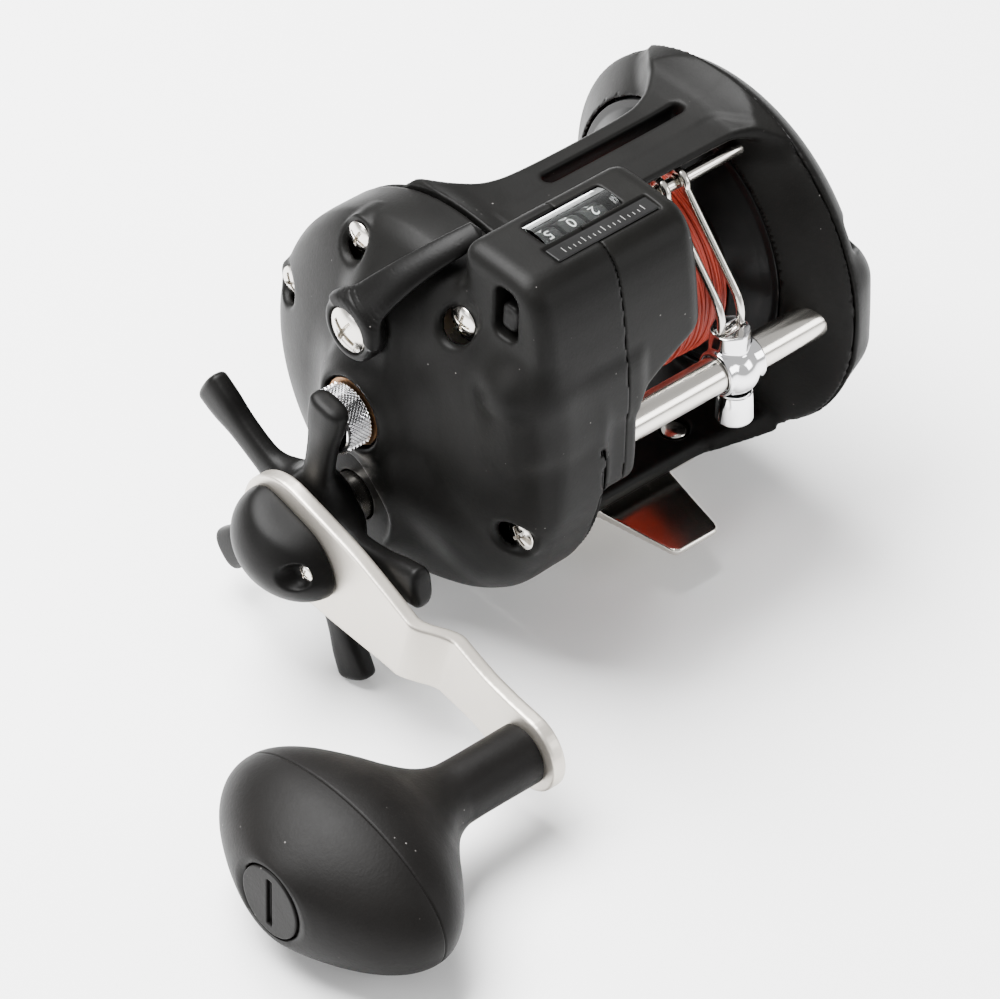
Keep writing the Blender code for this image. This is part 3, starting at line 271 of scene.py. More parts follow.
def skin(name, field, low, high, step, settle=3, seam=None):
    """Skin the zero surface of a field with quads and settle them onto it.

    Points close to the plane x = seam are laid exactly on it.
    """
    axes = [np.arange(a - 2.5 * step, b + 3.0 * step, step) for a, b in zip(low, high)]
    size = tuple(len(a) for a in axes)
    v = np.broadcast_to(field(axes[0][:, None, None], axes[1][None, :, None],
                              axes[2][None, None, :]), size)
    inside = v < 0.0
    count = np.zeros([s - 1 for s in size], np.int8)
    for i, j, k in itertools.product((0, 1), repeat=3):
        count += inside[i:size[0] - 1 + i, j:size[1] - 1 + j, k:size[2] - 1 + k]
    mixed = (count > 0) & (count < 8)
    cell = np.full(count.shape, -1, np.int64)
    cell[mixed] = np.arange(int(mixed.sum()))
    spots = np.argwhere(mixed)
    total = np.zeros((len(spots), 3))
    hits = np.zeros(len(spots))
    for axis in range(3):
        unit = np.eye(3, dtype=int)[axis]
        for a, b in itertools.product((0, 1), repeat=2):
            low_corner = np.zeros(3, int)
            low_corner[(axis + 1) % 3], low_corner[(axis + 2) % 3] = a, b
            v0 = v[tuple((spots + low_corner).T)]
            v1 = v[tuple((spots + low_corner + unit).T)]
            crossing = (v0 < 0) != (v1 < 0)
            t = np.where(crossing, v0 / np.where(crossing, v0 - v1, 1.0), 0.0)
            total += (low_corner + t[:, None] * unit) * crossing[:, None]
            hits += crossing
    start = np.array([a[0] for a in axes])
    points = (spots + total / hits[:, None]) * step + start
    quads = []
    for axis in range(3):
        b, c = (axis + 1) % 3, (axis + 2) % 3
        one, two = [slice(1, -1)] * 3, [slice(1, -1)] * 3
        one[axis], two[axis] = slice(0, -1), slice(1, None)
        s0, s1 = inside[tuple(one)], inside[tuple(two)]
        edge = np.argwhere(s0 != s1)
        first = s0[tuple(edge.T)]
        edge[:, b] += 1
        edge[:, c] += 1
        ub, uc = np.eye(3, dtype=int)[b], np.eye(3, dtype=int)[c]
        ring = np.stack([cell[tuple((edge + o).T)] for o in (-ub - uc, -uc, 0 * ub, -ub)], 1)
        ring[~first] = ring[~first][:, ::-1]
        quads.append(ring)
    quads = np.vstack(quads)
    eps = 0.25 * step
    for _ in range(settle):
        here = field(*points.T)
        slope = np.stack([(field(*(points + eps * e).T) - field(*(points - eps * e).T))
                          / (2 * eps) for e in np.eye(3)], 1)
        steep = np.maximum((slope ** 2).sum(1), 0.2)
        move = -np.clip(here, -0.5 * step, 0.5 * step)[:, None] * slope / steep[:, None]
        points = points + move
    if seam is not None:
        points[np.abs(points[:, 0] - seam) < 0.45 * step, 0] = seam
    return mesh_piece(name, points, quads.tolist())


def rings_piece(name, rings, closed=False, sharp=40.0):
    """Skin equal loops of points; a closed one joins its last loop to its first."""
    rings = np.asarray(rings, float)
    n, m = rings.shape[:2]
    faces = []
    for i in range(n if closed else n - 1):
        a, b = i * m, ((i + 1) % n) * m
        faces += [(a + k, a + (k + 1) % m, b + (k + 1) % m, b + k) for k in range(m)]
    if not closed:
        faces += [list(range(m)), list(range((n - 1) * m, n * m))]
    obj = mesh_piece(name, rings.reshape(-1, 3), faces)
    bm = bmesh.new()
    bm.from_mesh(obj.data)
    bmesh.ops.recalc_face_normals(bm, faces=bm.faces)
    bm.to_mesh(obj.data)
    bm.free()
    obj.data.set_sharp_from_angle(angle=math.radians(sharp))
    return obj


def lathe(name, centre, profile, facets=96, closed=False, axis="x", sharp=40.0):
    """Turned piece; the profile gives place along the axis and radius."""
    turn = np.linspace(0.0, 2.0 * math.pi, facets, endpoint=False)
    rings = []
    for s, r in profile:
        along = np.full(facets, s)
        u, v = centre[0] + r * np.cos(turn), centre[1] + r * np.sin(turn)
        rings.append(np.stack([along, u, v] if axis == "x" else [u, v, along], 1))
    return rings_piece(name, rings, closed, sharp)


def softened(profile, radius=0.25, steps=4):
    """Profile whose inner corners are rounded off."""
    p = [Vector(q) for q in profile]
    out = [p[0]]
    for a, b, c in zip(p, p[1:], p[2:]):
        cut_back = min(radius, 0.45 * (a - b).length, 0.45 * (c - b).length)
        one, two = b + (a - b).normalized() * cut_back, b + (c - b).normalized() * cut_back
        for i in range(steps + 1):
            t = i / steps
            out.append(one * (1 - t) ** 2 + b * 2 * t * (1 - t) + two * t * t)
    return [tuple(q) for q in out + [p[-1]]]


def sweep(name, path, radius, facets=14):
    """Round wire along a smooth line of points."""
    points = [Vector(p) for p in path]
    turn = np.linspace(0.0, 2.0 * math.pi, facets, endpoint=False)
    guide = Vector((1.0, 0.35, 0.2)).normalized()
    rings = []
    for i, p in enumerate(points):
        run = (points[min(i + 1, len(points) - 1)] - points[max(i - 1, 0)]).normalized()
        guide = (guide - run * guide.dot(run)).normalized()
        other = run.cross(guide)
        rings.append([tuple(p + guide * radius * math.cos(a) + other * radius * math.sin(a))
                      for a in turn])
    return rings_piece(name, rings, sharp=60.0)


# ------------------------------------------------------------------- materials
class Wire:
    """A shader socket that can be used in sums."""

    def __init__(self, finish, socket):
        self.finish, self.socket = finish, socket

    def _sum(self, operation, other):
        return self.finish.node("ShaderNodeMath", {"operation": operation}, {0: self, 1: other})

    def __add__(self, other):
        return self._sum("ADD", other)

    def __sub__(self, other):
        return self._sum("SUBTRACT", other)

    def __mul__(self, other):
        return self._sum("MULTIPLY", other)

    def __lt__(self, other):
        return self._sum("LESS_THAN", other)


class Finish:
    """One surface finish, built from nodes on object coordinates."""

    def __init__(self, name, **fixed):
        self.material = bpy.data.materials.new(name)
        self.material.use_nodes = True
        self.tree = self.material.node_tree
        self.shader = self.tree.nodes["Principled BSDF"]
        self.set(**fixed)
        self.place = self.node("ShaderNodeTexCoord", output="Object")

    def set(self, **fixed):
        for key, value in fixed.items():
            self.feed(self.shader.inputs[key.replace("_", " ")], value)
        return self

    def feed(self, socket, value):
        if isinstance(value, Wire):
            self.tree.links.new(value.socket, socket)
        elif socket.type == "RGBA" and len(value) == 3:
            socket.default_value = (*value, 1.0)
        else:
            socket.default_value = value

    def node(self, kind, settings=None, inputs=None, output=0):
        made = self.tree.nodes.new(kind)
        for key, value in (settings or {}).items():
            if key == "stops":
                ramp = made.color_ramp
                for stop, (place, tone) in zip(ramp.elements, value):
                    stop.position, stop.color = place, (tone, tone, tone, 1.0)
            else:
                setattr(made, key, value)
        for key, value in (inputs or {}).items():
            self.feed(made.inputs[key], value)
        return Wire(self, made.outputs[output])

    def stretched(self, x, y, z):
        return self.node("ShaderNodeMapping", None, {"Vector": self.place, "Scale": (x, y, z)})

    def noise(self, scale, detail=2.0, place=None, roughness=0.5):
        return self.node("ShaderNodeTexNoise", None,
                         {"Vector": place or self.place, "Scale": scale, "Detail": detail,
                          "Roughness": roughness})

    def cells(self, scale):
        return self.node("ShaderNodeTexVoronoi", None,
                         {"Vector": self.place, "Scale": scale}, "Distance")

    def ramp(self, value, low, high):
        return self.node("ShaderNodeValToRGB", {"stops": ((low, 0.0), (high, 1.0))}, {0: value})

    def blend(self, factor, one, two):
        return self.node("ShaderNodeMix", {"data_type": "RGBA"}, {0: factor, 6: one, 7: two}, 2)

    def bump(self, height, depth, strength):
        return self.node("ShaderNodeBump", None,
                         {"Height": height, "Distance": depth, "Strength": strength})


PLASTIC_GLOSS = 0.085


DUST = (0.42, 0.40, 0.38)


def moulded(name, colour, rough, grain=2600.0, depth=0.00004, specks=True, coat=0.0):
    """Moulded plastic: fine grain, faint handling marks and a few specks of dust."""
    f = Finish(name, Coat_Weight=coat, Coat_Roughness=0.25, IOR=1.5,
               Specular_IOR_Level=PLASTIC_GLOSS)
    fine = f.noise(grain, 3.0, roughness=0.6)
    broad = f.noise(70.0, 3.0)
    worn = f.noise(260.0, 4.0)
    lighter = tuple(min(1.0, c * 1.7 + 0.0008) for c in colour)
    shade = f.blend(f.ramp(broad, 0.35, 0.7) * 0.6 + fine * 0.3, colour, lighter)
    if specks:
        dust = (f.cells(330.0) < 0.055) * f.ramp(worn, 0.52, 0.6)
        shade = f.blend(dust * 0.25, shade, DUST)
    f.set(Base_Color=shade, Roughness=(broad - 0.5) * 0.16 + (fine - 0.5) * 0.12
          + (worn - 0.5) * 0.06 + rough)
    f.set(Normal=f.bump(fine * 0.8 + f.cells(grain * 0.45) * 0.4, depth, 0.6))
    return f.material


def polished(name, colour, rough, lines=(60.0, 2600.0, 2600.0), depth=0.000008, stain=0.10):
    """Polished metal: faint drawing lines, a soft haze and tiny scratches."""
    f = Finish(name, Metallic=1.0)
    drawn = f.noise(1.0, 3.0, f.stretched(*lines))
    haze = f.noise(110.0, 4.0)
    tint = tuple(c * (1.0 - stain) for c in colour)
    f.set(Base_Color=f.blend(haze * 0.5 + drawn * 0.5, colour, tint),
          Roughness=haze * 0.10 + drawn * 0.08 + (rough - 0.08),
          Normal=f.bump(drawn, depth, 0.35))
    return f.material


def blasted(name, colour, rough):
    """Bead-blasted and anodised aluminium."""
    f = Finish(name, Metallic=0.85)
    bead = f.noise(5200.0, 2.0, roughness=0.7)
    haze = f.noise(90.0, 3.0)
    nick = f.cells(900.0)
    dark = tuple(c * 0.86 for c in colour)
    f.set(Base_Color=f.blend(haze * 0.5 + bead * 0.4, colour, dark),
          Roughness=bead * 0.12 + haze * 0.08 + (rough - 0.1),
          Normal=f.bump(bead * 0.7 + nick * 0.3, 0.00003, 0.5))
    return f.material


def braided(name, fresh, shaded):
    """Wound line: each strand has its own shade, with a fine twist."""
    f = Finish(name, IOR=1.5)
    own = f.node("ShaderNodeAttribute", {"attribute_name": "strand"}, None, "Fac")
    twist = f.noise(3400.0, 2.0)
    f.set(Base_Color=f.blend(own * 0.75 + twist * 0.25, fresh, shaded),
          Roughness=twist * 0.2 + 0.34, Normal=f.bump(twist, 0.00003, 0.6))
    return f.material


def clear_plastic(name):
    f = Finish(name, Transmission_Weight=1.0, IOR=1.42, Base_Color=(0.93, 0.96, 0.95))
    haze = f.noise(160.0, 3.0)
    f.set(Roughness=haze * 0.06 + 0.01)
    return f.material


FINISHES = {}
for title, make, *look in (
        ("graphite_black", moulded, (0.0022, 0.0021, 0.0019), 0.47),
        ("counter_black", moulded, (0.0026, 0.0025, 0.0022), 0.45),
        ("satin_black", moulded, (0.0018, 0.0017, 0.0016), 0.42, 3000.0, 0.00003),
        ("knob_black", moulded, (0.0030, 0.0027, 0.0025), 0.50, 2300.0, 0.00006),
        ("polished_steel", polished, (0.70, 0.67, 0.62), 0.17),
        # knurl root: dark steel that paints shade into the gaps between the chrome knurl teeth
        ("knurl_root", polished, (0.05, 0.05, 0.05), 0.5),
        ("chrome", polished, (0.86, 0.86, 0.87), 0.09, (300.0, 300.0, 300.0), 0.000002, 0.04),
        ("anodised_silver", blasted, (0.58, 0.54, 0.48), 0.40),
        ("bronze", polished, (0.32, 0.18, 0.09), 0.36, (900.0, 900.0, 900.0), 0.00001, 0.3),
        ("brass", polished, (0.74, 0.53, 0.24), 0.30, (80.0, 1800.0, 1800.0), 0.00001, 0.2),
        ("bright_zinc", polished, (0.62, 0.62, 0.63), 0.34, (500.0, 500.0, 500.0)),
        ("red_line", braided, (0.40, 0.033, 0.013), (0.16, 0.010, 0.005)),
        ("line_shadow", braided, (0.035, 0.004, 0.003), (0.015, 0.003, 0.002)),
        ("clear_window", clear_plastic),
        ("label_black", moulded, (0.008, 0.008, 0.008), 0.22, 1200.0, 0.00001),
        ("wheel_black", moulded, (0.012, 0.012, 0.012), 0.42, 2000.0, 0.00002),
        ("figure_white", moulded, (0.62, 0.62, 0.60), 0.5, 2500.0, 0.00001, False),
        ("mark_grey", moulded, (0.16, 0.16, 0.155), 0.5, 2500.0, 0.00001, False),
        ("drag_fibre", moulded, (0.10, 0.07, 0.05), 0.8, 1500.0, 0.00005, False),
        ("spool_black", moulded, (0.0030, 0.0030, 0.0030), 0.34, 3200.0, 0.00001, False, 0.1),
        ("white_nylon", moulded, (0.68, 0.67, 0.62), 0.5, 1800.0, 0.00003, False)):
    FINISHES[title] = make(title, *look)
for row in frame["record"]["subparts"]:
    kept = frame["nodes"][row["node"]]
    kept.data.materials.clear()
    kept.data.materials.append(FINISHES[row["material_slot"]])
NODE_BODY = {n: body for body, names in frame["record"]["behaviour"]["bodies"].items()
             for n in names}
NODE_SLOT = {row["node"]: row["material_slot"] for row in frame["record"]["subparts"]}


def fit(obj, *nodes, body=None, finish=None):
    """Paint a piece, put it on its body and let it stand for its CAD nodes."""
    body = body or NODE_BODY[nodes[0]]
    finish = finish or NODE_SLOT[nodes[0]]
    obj.data.materials.clear()
    obj.data.materials.append(FINISHES[finish])
    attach(obj, body)
    if nodes:
        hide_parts(*nodes)
    return obj


# ------------------------------------------------------------ geometry recipes
class Recipe:
    """A geometry-nodes tree with named inputs, run on a small mesh."""

    def __init__(self, name, **inputs):
        self.tree = bpy.data.node_groups.new(name, "GeometryNodeTree")
        face = self.tree.interface
        face.new_socket("Geometry", in_out="INPUT", socket_type="NodeSocketGeometry")
        face.new_socket("Geometry", in_out="OUTPUT", socket_type="NodeSocketGeometry")
        self.keys = {}
        for key, kind in inputs.items():
            socket = face.new_socket(key, in_out="INPUT", socket_type="NodeSocket" + kind)
            self.keys[key] = socket.identifier
        self.start = self.tree.nodes.new("NodeGroupInput")
        self.end = self.tree.nodes.new("NodeGroupOutput")

    def feed(self, socket, value):
        if isinstance(value, bpy.types.NodeSocket):
            self.tree.links.new(value, socket)
        else:
            socket.default_value = value

    def node(self, kind, settings=None, inputs=None, output=0):
        made = self.tree.nodes.new(kind)
        for key, value in (settings or {}).items():
            setattr(made, key, value)
        for key, value in (inputs or {}).items():
            self.feed(made.inputs[key], value)
        return made.outputs[output]

    def given(self, key):
        return self.start.outputs[key]

    def column(self, key):
        """A number kept on each point."""
        return self.node("GeometryNodeInputNamedAttribute", {"data_type": "FLOAT"}, {"Name": key})

    def maths(self, operation, one, two):
        return self.node("ShaderNodeMath", {"operation": operation}, {0: one, 1: two})

    def angles(self, **ends):
        return self.node("ShaderNodeCombineXYZ", None, ends)

    def chance(self, **ends):
        """A random number for each point; ends are Min, Max and Seed."""
        pick = self.tree.nodes.new("FunctionNodeRandomValue")
        pick.data_type = "FLOAT"
        sockets = {s.name: s for s in pick.inputs if s.enabled}
        for key, value in ends.items():
            self.feed(sockets[key], value)
        return [s for s in pick.outputs if s.enabled][0]

    def put(self, points, shape, rotation, **extra):
        return self.node("GeometryNodeInstanceOnPoints", None,
                         {"Points": points, "Instance": shape, "Rotation": rotation, **extra})

    def realized(self, geometry):
        return self.node("GeometryNodeRealizeInstances", None, {0: geometry})

    def close(self, geometry):
        done = self.node("GeometryNodeSetMaterial", None,
                         {"Geometry": self.realized(geometry), "Material": self.given("Paint")})
        self.tree.links.new(done, self.end.inputs[0])
        return self

    def grow(self, name, points, values, fields=None):
        """Run on points and return the plain mesh piece."""
        seed = mesh_piece(name + "_seed", points, [], smooth=False)
        for key, column in (fields or {}).items():
            made = seed.data.attributes.new(key, "FLOAT", "POINT")
            made.data.foreach_set("value", np.asarray(column, np.float32))
        mod = seed.modifiers.new(name, "NODES")
        mod.node_group = self.tree
        for key, value in values.items():
            mod[self.keys[key]] = value
        seed.update_tag()
        mesh = baked(seed)
        mesh.name = name
        bpy.data.objects.remove(seed)
        return placed(name, mesh)


def fastener_recipe():
    """Copies of one fastener, each with its own way out, turn and size."""
    r = Recipe("fasteners", Pattern="Object", Paint="Material")
    shape = r.node("GeometryNodeObjectInfo", None, {"Object": r.given("Pattern")}, "Geometry")
    angles = r.angles(X=r.column("turn"), Z=r.column("flip"))
    return r.close(r.put(r.given("Geometry"), shape, angles, Scale=r.column("size")))


def winding_recipe():
    """Turns of line round an axis along X, each a little tilted, from a fixed seed."""
    r = Recipe("windings", Turns="Int", Pitch="Float", Radius="Float", Strand="Float",
               Tilt="Float", Swell="Float", Seed="Int", Paint="Material")
    row = r.node("GeometryNodeMeshLine", None,
                 {"Count": r.given("Turns"), "Offset": r.angles(X=r.given("Pitch"))})
    ring = r.node("GeometryNodeCurvePrimitiveCircle", None,
                  {"Resolution": 80, "Radius": r.given("Radius")})
    low = r.maths("SUBTRACT", 0.0, r.given("Tilt"))
    lean = [r.chance(Min=low, Max=r.given("Tilt"), Seed=r.maths("ADD", r.given("Seed"), shift))
            for shift in (0.0, 7.0)]
    angles = r.angles(Y=r.maths("ADD", lean[0], math.pi / 2.0), Z=lean[1])
    grow = r.chance(Min=1.0, Max=r.given("Swell"), Seed=r.given("Seed"))
    tag = r.node("GeometryNodeStoreNamedAttribute", {"data_type": "FLOAT", "domain": "INSTANCE"},
                 {"Geometry": r.put(row, ring, angles, Scale=grow), "Name": "strand",
                  "Value": r.chance(Seed=r.given("Seed"))})
    thread = r.node("GeometryNodeCurvePrimitiveCircle", None,
                    {"Resolution": 6, "Radius": r.given("Strand")})
    tube = r.node("GeometryNodeCurveToMesh", None,
                  {"Curve": r.realized(tag), "Profile Curve": thread})
    return r.close(r.node("GeometryNodeSetShadeSmooth", None, {"Geometry": tube}))


def knurl_recipe():
    """Small pyramids set out on points, each facing away from its axis."""
    r = Recipe("knurl", Base="Float", Height="Float", Paint="Material")
    tooth = r.node("GeometryNodeMeshCone", None,
                   {"Vertices": 4, "Radius Top": 0.0, "Radius Bottom": r.given("Base"),
                    "Depth": r.given("Height")})
    return r.close(r.put(r.given("Geometry"), tooth, r.angles(X=r.column("turn"))))


FASTENERS = fastener_recipe()
WINDINGS = winding_recipe()
KNURL = knurl_recipe()


# ---------------------------------------------------------------- rims and frame
RIM_FRONT = eased(((0.0, OPENING_R, 0.0), (3.4, 33.0, 0.42), (6.4, 37.3, 0.84), (8.0, RIM_R, 1.0)))
RIM_BACK = eased(((2.2, OPENING_R, 0.0), (5.2, 33.4, 0.66), (8.0, 37.3, 1.0)))


FLARE_SLOPE = 0.62


def rim_radius(rows, deep, y, z, grow=0.0):
    """How far a point is outside the flare at its own depth."""
    r = np.interp(deep, rows[:, 0], rows[:, 1])
    t = np.interp(deep, rows[:, 0], rows[:, 2])
    cy = SPOOL[0] + (RIM[0] - SPOOL[0]) * t
    cz = SPOOL[1] + (RIM[1] - SPOOL[1]) * t
    return (np.hypot(y - cy, z - cz) - r - grow) * FLARE_SLOPE


def rim_field(x, y, z, plane, way):
    deep = way * (x - plane)
    d = rim_radius(RIM_FRONT, deep, y, z)
    d = meet(d, -rim_radius(RIM_BACK, deep, y, z), 0.3)
    return meet(d, between(deep, 0.0, 8.0), 0.5)


TOP_BAR = eased(((-33.0, -15.0, 13.0, 72.6, 79.0), (-28.0, -12.5, 8.0, 73.2, 78.6),
                 (-23.0, -9.4, 4.8, 73.8, 78.3), (-14.0, -9.2, 3.6, 74.0, 78.2),
                 (8.0, -9.2, 3.6, 74.0, 78.2), (16.0, -9.2, 5.2, 73.8, 78.4),
                 (21.5, -9.4, 9.0, 73.4, 78.8), (24.2, -13.0, 12.0, 73.1, 79.1),
                 (28.0, -18.0, 15.0, 72.6, 79.0)))
LOW_BAR = eased(((-32.5, -20.0, 16.0, 5.2, 12.0), (-26.0, -17.0, 15.0, 3.4, 8.4),
                 (-20.0, -16.0, 15.0, 2.8, 7.0), (12.0, -16.0, 15.0, 2.8, 7.0),
                 (18.0, -17.6, 15.6, 3.3, 8.0), (23.0, -20.0, 17.0, 4.3, 10.0),
                 (28.5, -23.0, 19.0, 5.6, 12.6)))
TOP_LIP = eased(((-29.0, -15.4, -4.0, 76.5, 78.7), (-22.0, -14.6, -4.0, 76.4, 78.2),
                 (16.0, -14.6, -4.0, 76.4, 78.2), (23.0, -15.6, -4.0, 76.4, 78.6),
                 (28.5, -19.0, -4.0, 76.4, 79.0)))
RIVETS = [(sx * 14.0, sy * 9.8) for sx in (-1, 1) for sy in (-1, 1)]
SLOT_X, SLOT_Y, SLOT_HALF = (-15.6, 20.2), -2.3, 1.5


def bar_field(x, y, z, rows, radius):
    y0, y1, z0, z1 = (np.interp(x, rows[:, 0], rows[:, k]) for k in (1, 2, 3, 4))
    a, b = between(y, y0, y1) + radius, between(z, z0, z1) + radius
    d = np.hypot(np.maximum(a, 0), np.maximum(b, 0)) + np.minimum(np.maximum(a, b), 0) - radius
    return meet(d * 0.9, between(x, rows[0, 0], rows[-1, 0]))


def frame_field(x, y, z):
    d = join(rim_field(x, y, z, FAR_X, 1.0), rim_field(x, y, z, NEAR_X, -1.0))
    top = join(bar_field(x, y, z, TOP_BAR, 1.8), bar_field(x, y, z, TOP_LIP, 0.85), 0.8)
    d = join(d, top, 2.4 + 2.6 * np.clip((x - 14.0) / 8.0, 0.0, 1.0))
    d = join(d, bar_field(x, y, z, LOW_BAR, 1.6), 2.4)
    d = cut(d, pole(x, y, z, SPOOL, -28.6, 24.6, OPENING_R - 0.05), 0.4)
    sx = np.clip(x, SLOT_X[0] + 2.1, SLOT_X[1] - 2.1)
    slot = np.maximum(np.hypot(x - sx, y - SLOT_Y) - SLOT_HALF, 70.0 - z)
    d = cut(d, slot, 0.7)
    for rx, ry in RIVETS:
        seat = np.maximum(np.hypot(x - rx, y - ry) - 3.1, 6.2 - z)
        d = cut(d, np.maximum(seat, z - 12.0), 0.3)
    d = meet(d, between(x, -34.0, 30.0))
    return np.maximum(d, about(y, z, RIM) - RIM_R - 1.0)


# ------------------------------------------------------- gear cover and counter
GEAR_X = -34.3
GEAR_OUTER = ((0.0, 39.0), (8.4, 39.0), (11.4, 38.3), (14.2, 36.0), (16.8, 31.2),
              (19.2, 23.0), (20.9, 10.0), (21.3, 0.0))
GEAR_INNER = ((-1.0, 37.6), (10.2, 37.5), (13.0, 34.8), (16.0, 28.0), (18.4, 18.0),
              (19.2, 9.0), (19.3, 0.0))
GEAR_SHELL, GEAR_ROOM = half_section(GEAR_OUTER, 6), half_section(GEAR_INNER)
GEAR_SCREWS = ((11.5, 73.2), (30.4, 51.2), (-17.6, 71.2), (-34.4, 31.0))
GEAR_FLOOR = -47.6

HOUSING_X = (-47.5, -8.0)
HOUSING = ((-16.0, 77.6), (-15.4, 79.0), (-15.4, 86.2), (-16.2, 87.6), (-18.0, 88.2),
           (-30.4, 88.1), (-32.6, 87.5), (-34.6, 86.1), (-36.2, 83.9), (-37.2, 81.2),
           (-38.2, 77.0), (-39.2, 70.0), (-39.8, 62.0), (-40.0, 53.0), (-38.0, 51.5),
           (-34.4, 60.8), (-31.0, 66.0))
LIP = eased(((-24.2, 53.6), (-22.6, 55.4), (-19.0, 57.9), (-14.0, 60.8), (-7.0, 64.2)))
NOSE = ((-30.0, 66.0), (-39.5, 66.0), (-40.0, 55.0), (-40.0, 38.0), (-38.4, 35.2),
        (-35.4, 33.8), (-30.0, 34.4), (-27.8, 38.0), (-27.8, 50.0))
HOUSE_PLAN = Outline(rounded_off(HOUSING))
NOSE_PLAN = Outline(rounded_off(NOSE))
WHEEL_X = (-32.4, -26.9, -21.4)
WHEEL_R = 4.7
FIGURE_R = 4.53


def house_field(x, y, z):
    """Counter housing before it is parted at the seam."""
    d = meet(HOUSE_PLAN(y, z), between(x, *HOUSING_X), 4.2)
    lip = (z - np.interp(x, LIP[:, 0], LIP[:, 1])) * 0.86
    d = cut(d, np.maximum(lip, -24.2 - x), 1.8)
    nose = meet(NOSE_PLAN(y, z), between(x, -43.0, -24.2), 2.0)
    return join(d, nose, 2.6)


def counter_rooms(x, y, z, d):
    """Cuts that both halves of the housing share."""
    deep = NEAR_X - x
    rim = np.maximum(rim_radius(RIM_FRONT, deep + GAP, y, z, GAP), -deep - GAP)
    d = cut(d, np.maximum(rim, deep - 9.0), 0.3)
    d = cut(d, pole(x, y, z, SPOOL, -30.0, 0.0, OPENING_R + GAP))
    d = cut(d, pole(x, y, z, TUBE, -42.0, 0.0, TUBE_R + 0.2), 0.2)
    d = cut(d, pole(x, y, z, COUNTER, -35.6, -17.6, WHEEL_R + 0.4))
    window = block(x, y, z, (-36.0, -26.0, 80.0), (-17.0, -19.0, 92.0), 0.8)
    d = cut(d, window, 0.25)
    label = block(x, y, z, (-37.6, -31.4, 87.45), (-12.4, -26.6, 93.0), 0.5)
    return cut(d, label, 0.15)


def gear_cover_field(x, y, z):
    r = about(y, z, RIM)
    d = GEAR_SHELL(GEAR_X - x, r)
    d = join(d, frustum(x, across(y, z, SPOOL, DRIVE), -50.0, 16.0, -58.2, 10.6), 5.0)
    d = join(d, frustum(x, about(y, z, SPOOL), -50.0, 12.2, -60.2, 8.9), 2.2)
    d = join(d, frustum(x, across(y, z, SPOOL, LEVER), -48.0, 10.6, -56.0, 6.8), 3.4)
    d = join(d, stick(x, y, z, (-45.0, -31.0, 62.0), (-43.4, -31.0, 52.6), 8.4, 8.4), 3.0)
    d = join(d, stick(x, y, z, (-50.0, -8.0, 33.0), (-44.0, -24.0, 22.0), 7.0, 6.0), 6.0)
    house = np.maximum(house_field(x, y, z), x + 24.0)
    d = join(d, house, 4.4)
    d = np.maximum(d, x - SEAM_X)
    room = GEAR_ROOM(GEAR_X - x, r)
    d = cut(d, np.maximum(room, x - GEAR_X - 0.4), 0.3)
    d = counter_rooms(x, y, z, d)
    for centre, deep, radius, soft in ((DRIVE, -57.2, 10.0, 1.4), (DRIVE, -45.0, 5.2, 0.4),
                                       (SPOOL, -58.5, 7.4, 0.8), (SPOOL, -45.0, 3.3, 0.0),
                                       (LEVER, -42.0, 2.4, 0.0)):
        d = cut(d, pole(x, y, z, centre, OUTSIDE, deep, radius), soft)
    for c in GEAR_SCREWS:
        hollow = frustum(x, across(y, z, c, from_rim(c, 0.09)), GEAR_FLOOR, 3.4, -58.0, 5.6)
        d = join(d, pole(x, y, z, c, GEAR_FLOOR, -42.0, 4.2), 0.8)
        d = cut(d, hollow, 0.7)
    button = block(x, y, z, (-52.0, BUTTON[0] - 3.2, BUTTON[1] - 5.8),
                   (-39.4, BUTTON[0] + 3.2, BUTTON[1] + 5.2), 2.4)
    return cut(d, button, 0.7)


def counter_field(x, y, z):
    d = house_field(x, y, z)
    d = meet(d, SEAM_X + SEAM_GAP - x, 0.25)
    return counter_rooms(x, y, z, d)


# ------------------------------------------------------------------ far cover
LEFT_X = 30.3
LEFT_OUTER = ((0.0, 38.8), (1.6, 38.2), (4.2, 36.0), (6.6, 32.0), (8.6, 25.0), (9.8, 14.0),
              (10.2, 7.0), (10.3, 0.0))
LEFT_INNER = ((-1.0, 37.4), (1.0, 36.8), (3.2, 34.6), (5.4, 30.8), (7.2, 24.2), (8.3, 13.6),
              (8.7, 8.0), (8.8, 0.0))
LEFT_SHELL, LEFT_ROOM = half_section(LEFT_OUTER), half_section(LEFT_INNER)
LEFT_SCREWS = [polar(RIM, 34.0, math.radians(a)) for a in (151.0, 271.0, 31.0)]
LEFT_FLOOR = 33.2


def left_cover_field(x, y, z):
    r = about(y, z, RIM)
    d = LEFT_SHELL(x - LEFT_X, r)
    dish = np.sqrt((x - 64.0) ** 2 + r ** 2) - 26.0
    d = cut(d, dish, 3.0)
    ring = np.hypot(r - 27.0, x - 38.9) - 0.5
    d = cut(d, ring, 0.5)
    bulge = stick(x, y, z, (32.4, -32.6, 49.0), (32.4, -33.2, 35.6), 6.6, 6.6)
    d = join(d, np.maximum(bulge, LEFT_X - x), 3.0)
    room = LEFT_ROOM(x - LEFT_X, r)
    d = cut(d, np.maximum(room, LEFT_X - 0.4 - x), 0.3)
    d = join(d, np.maximum(pole(x, y, z, SPOOL, 31.0, 39.4, 7.2), 5.5 - about(y, z, SPOOL)), 0.5)
    for c in LEFT_SCREWS:
        hollow = frustum(x, across(y, z, c, from_rim(c, 0.16)), LEFT_FLOOR, 3.3, 46.0, 5.0)
        high = from_rim(c, -0.07)
        d = join(d, stick(x, y, z, (32.6, *high), (33.2, *high), 3.4, 3.4), 0.6)
        d = cut(d, hollow, 0.7)
    return np.maximum(np.maximum(d, x - 41.9), LEFT_X - x)


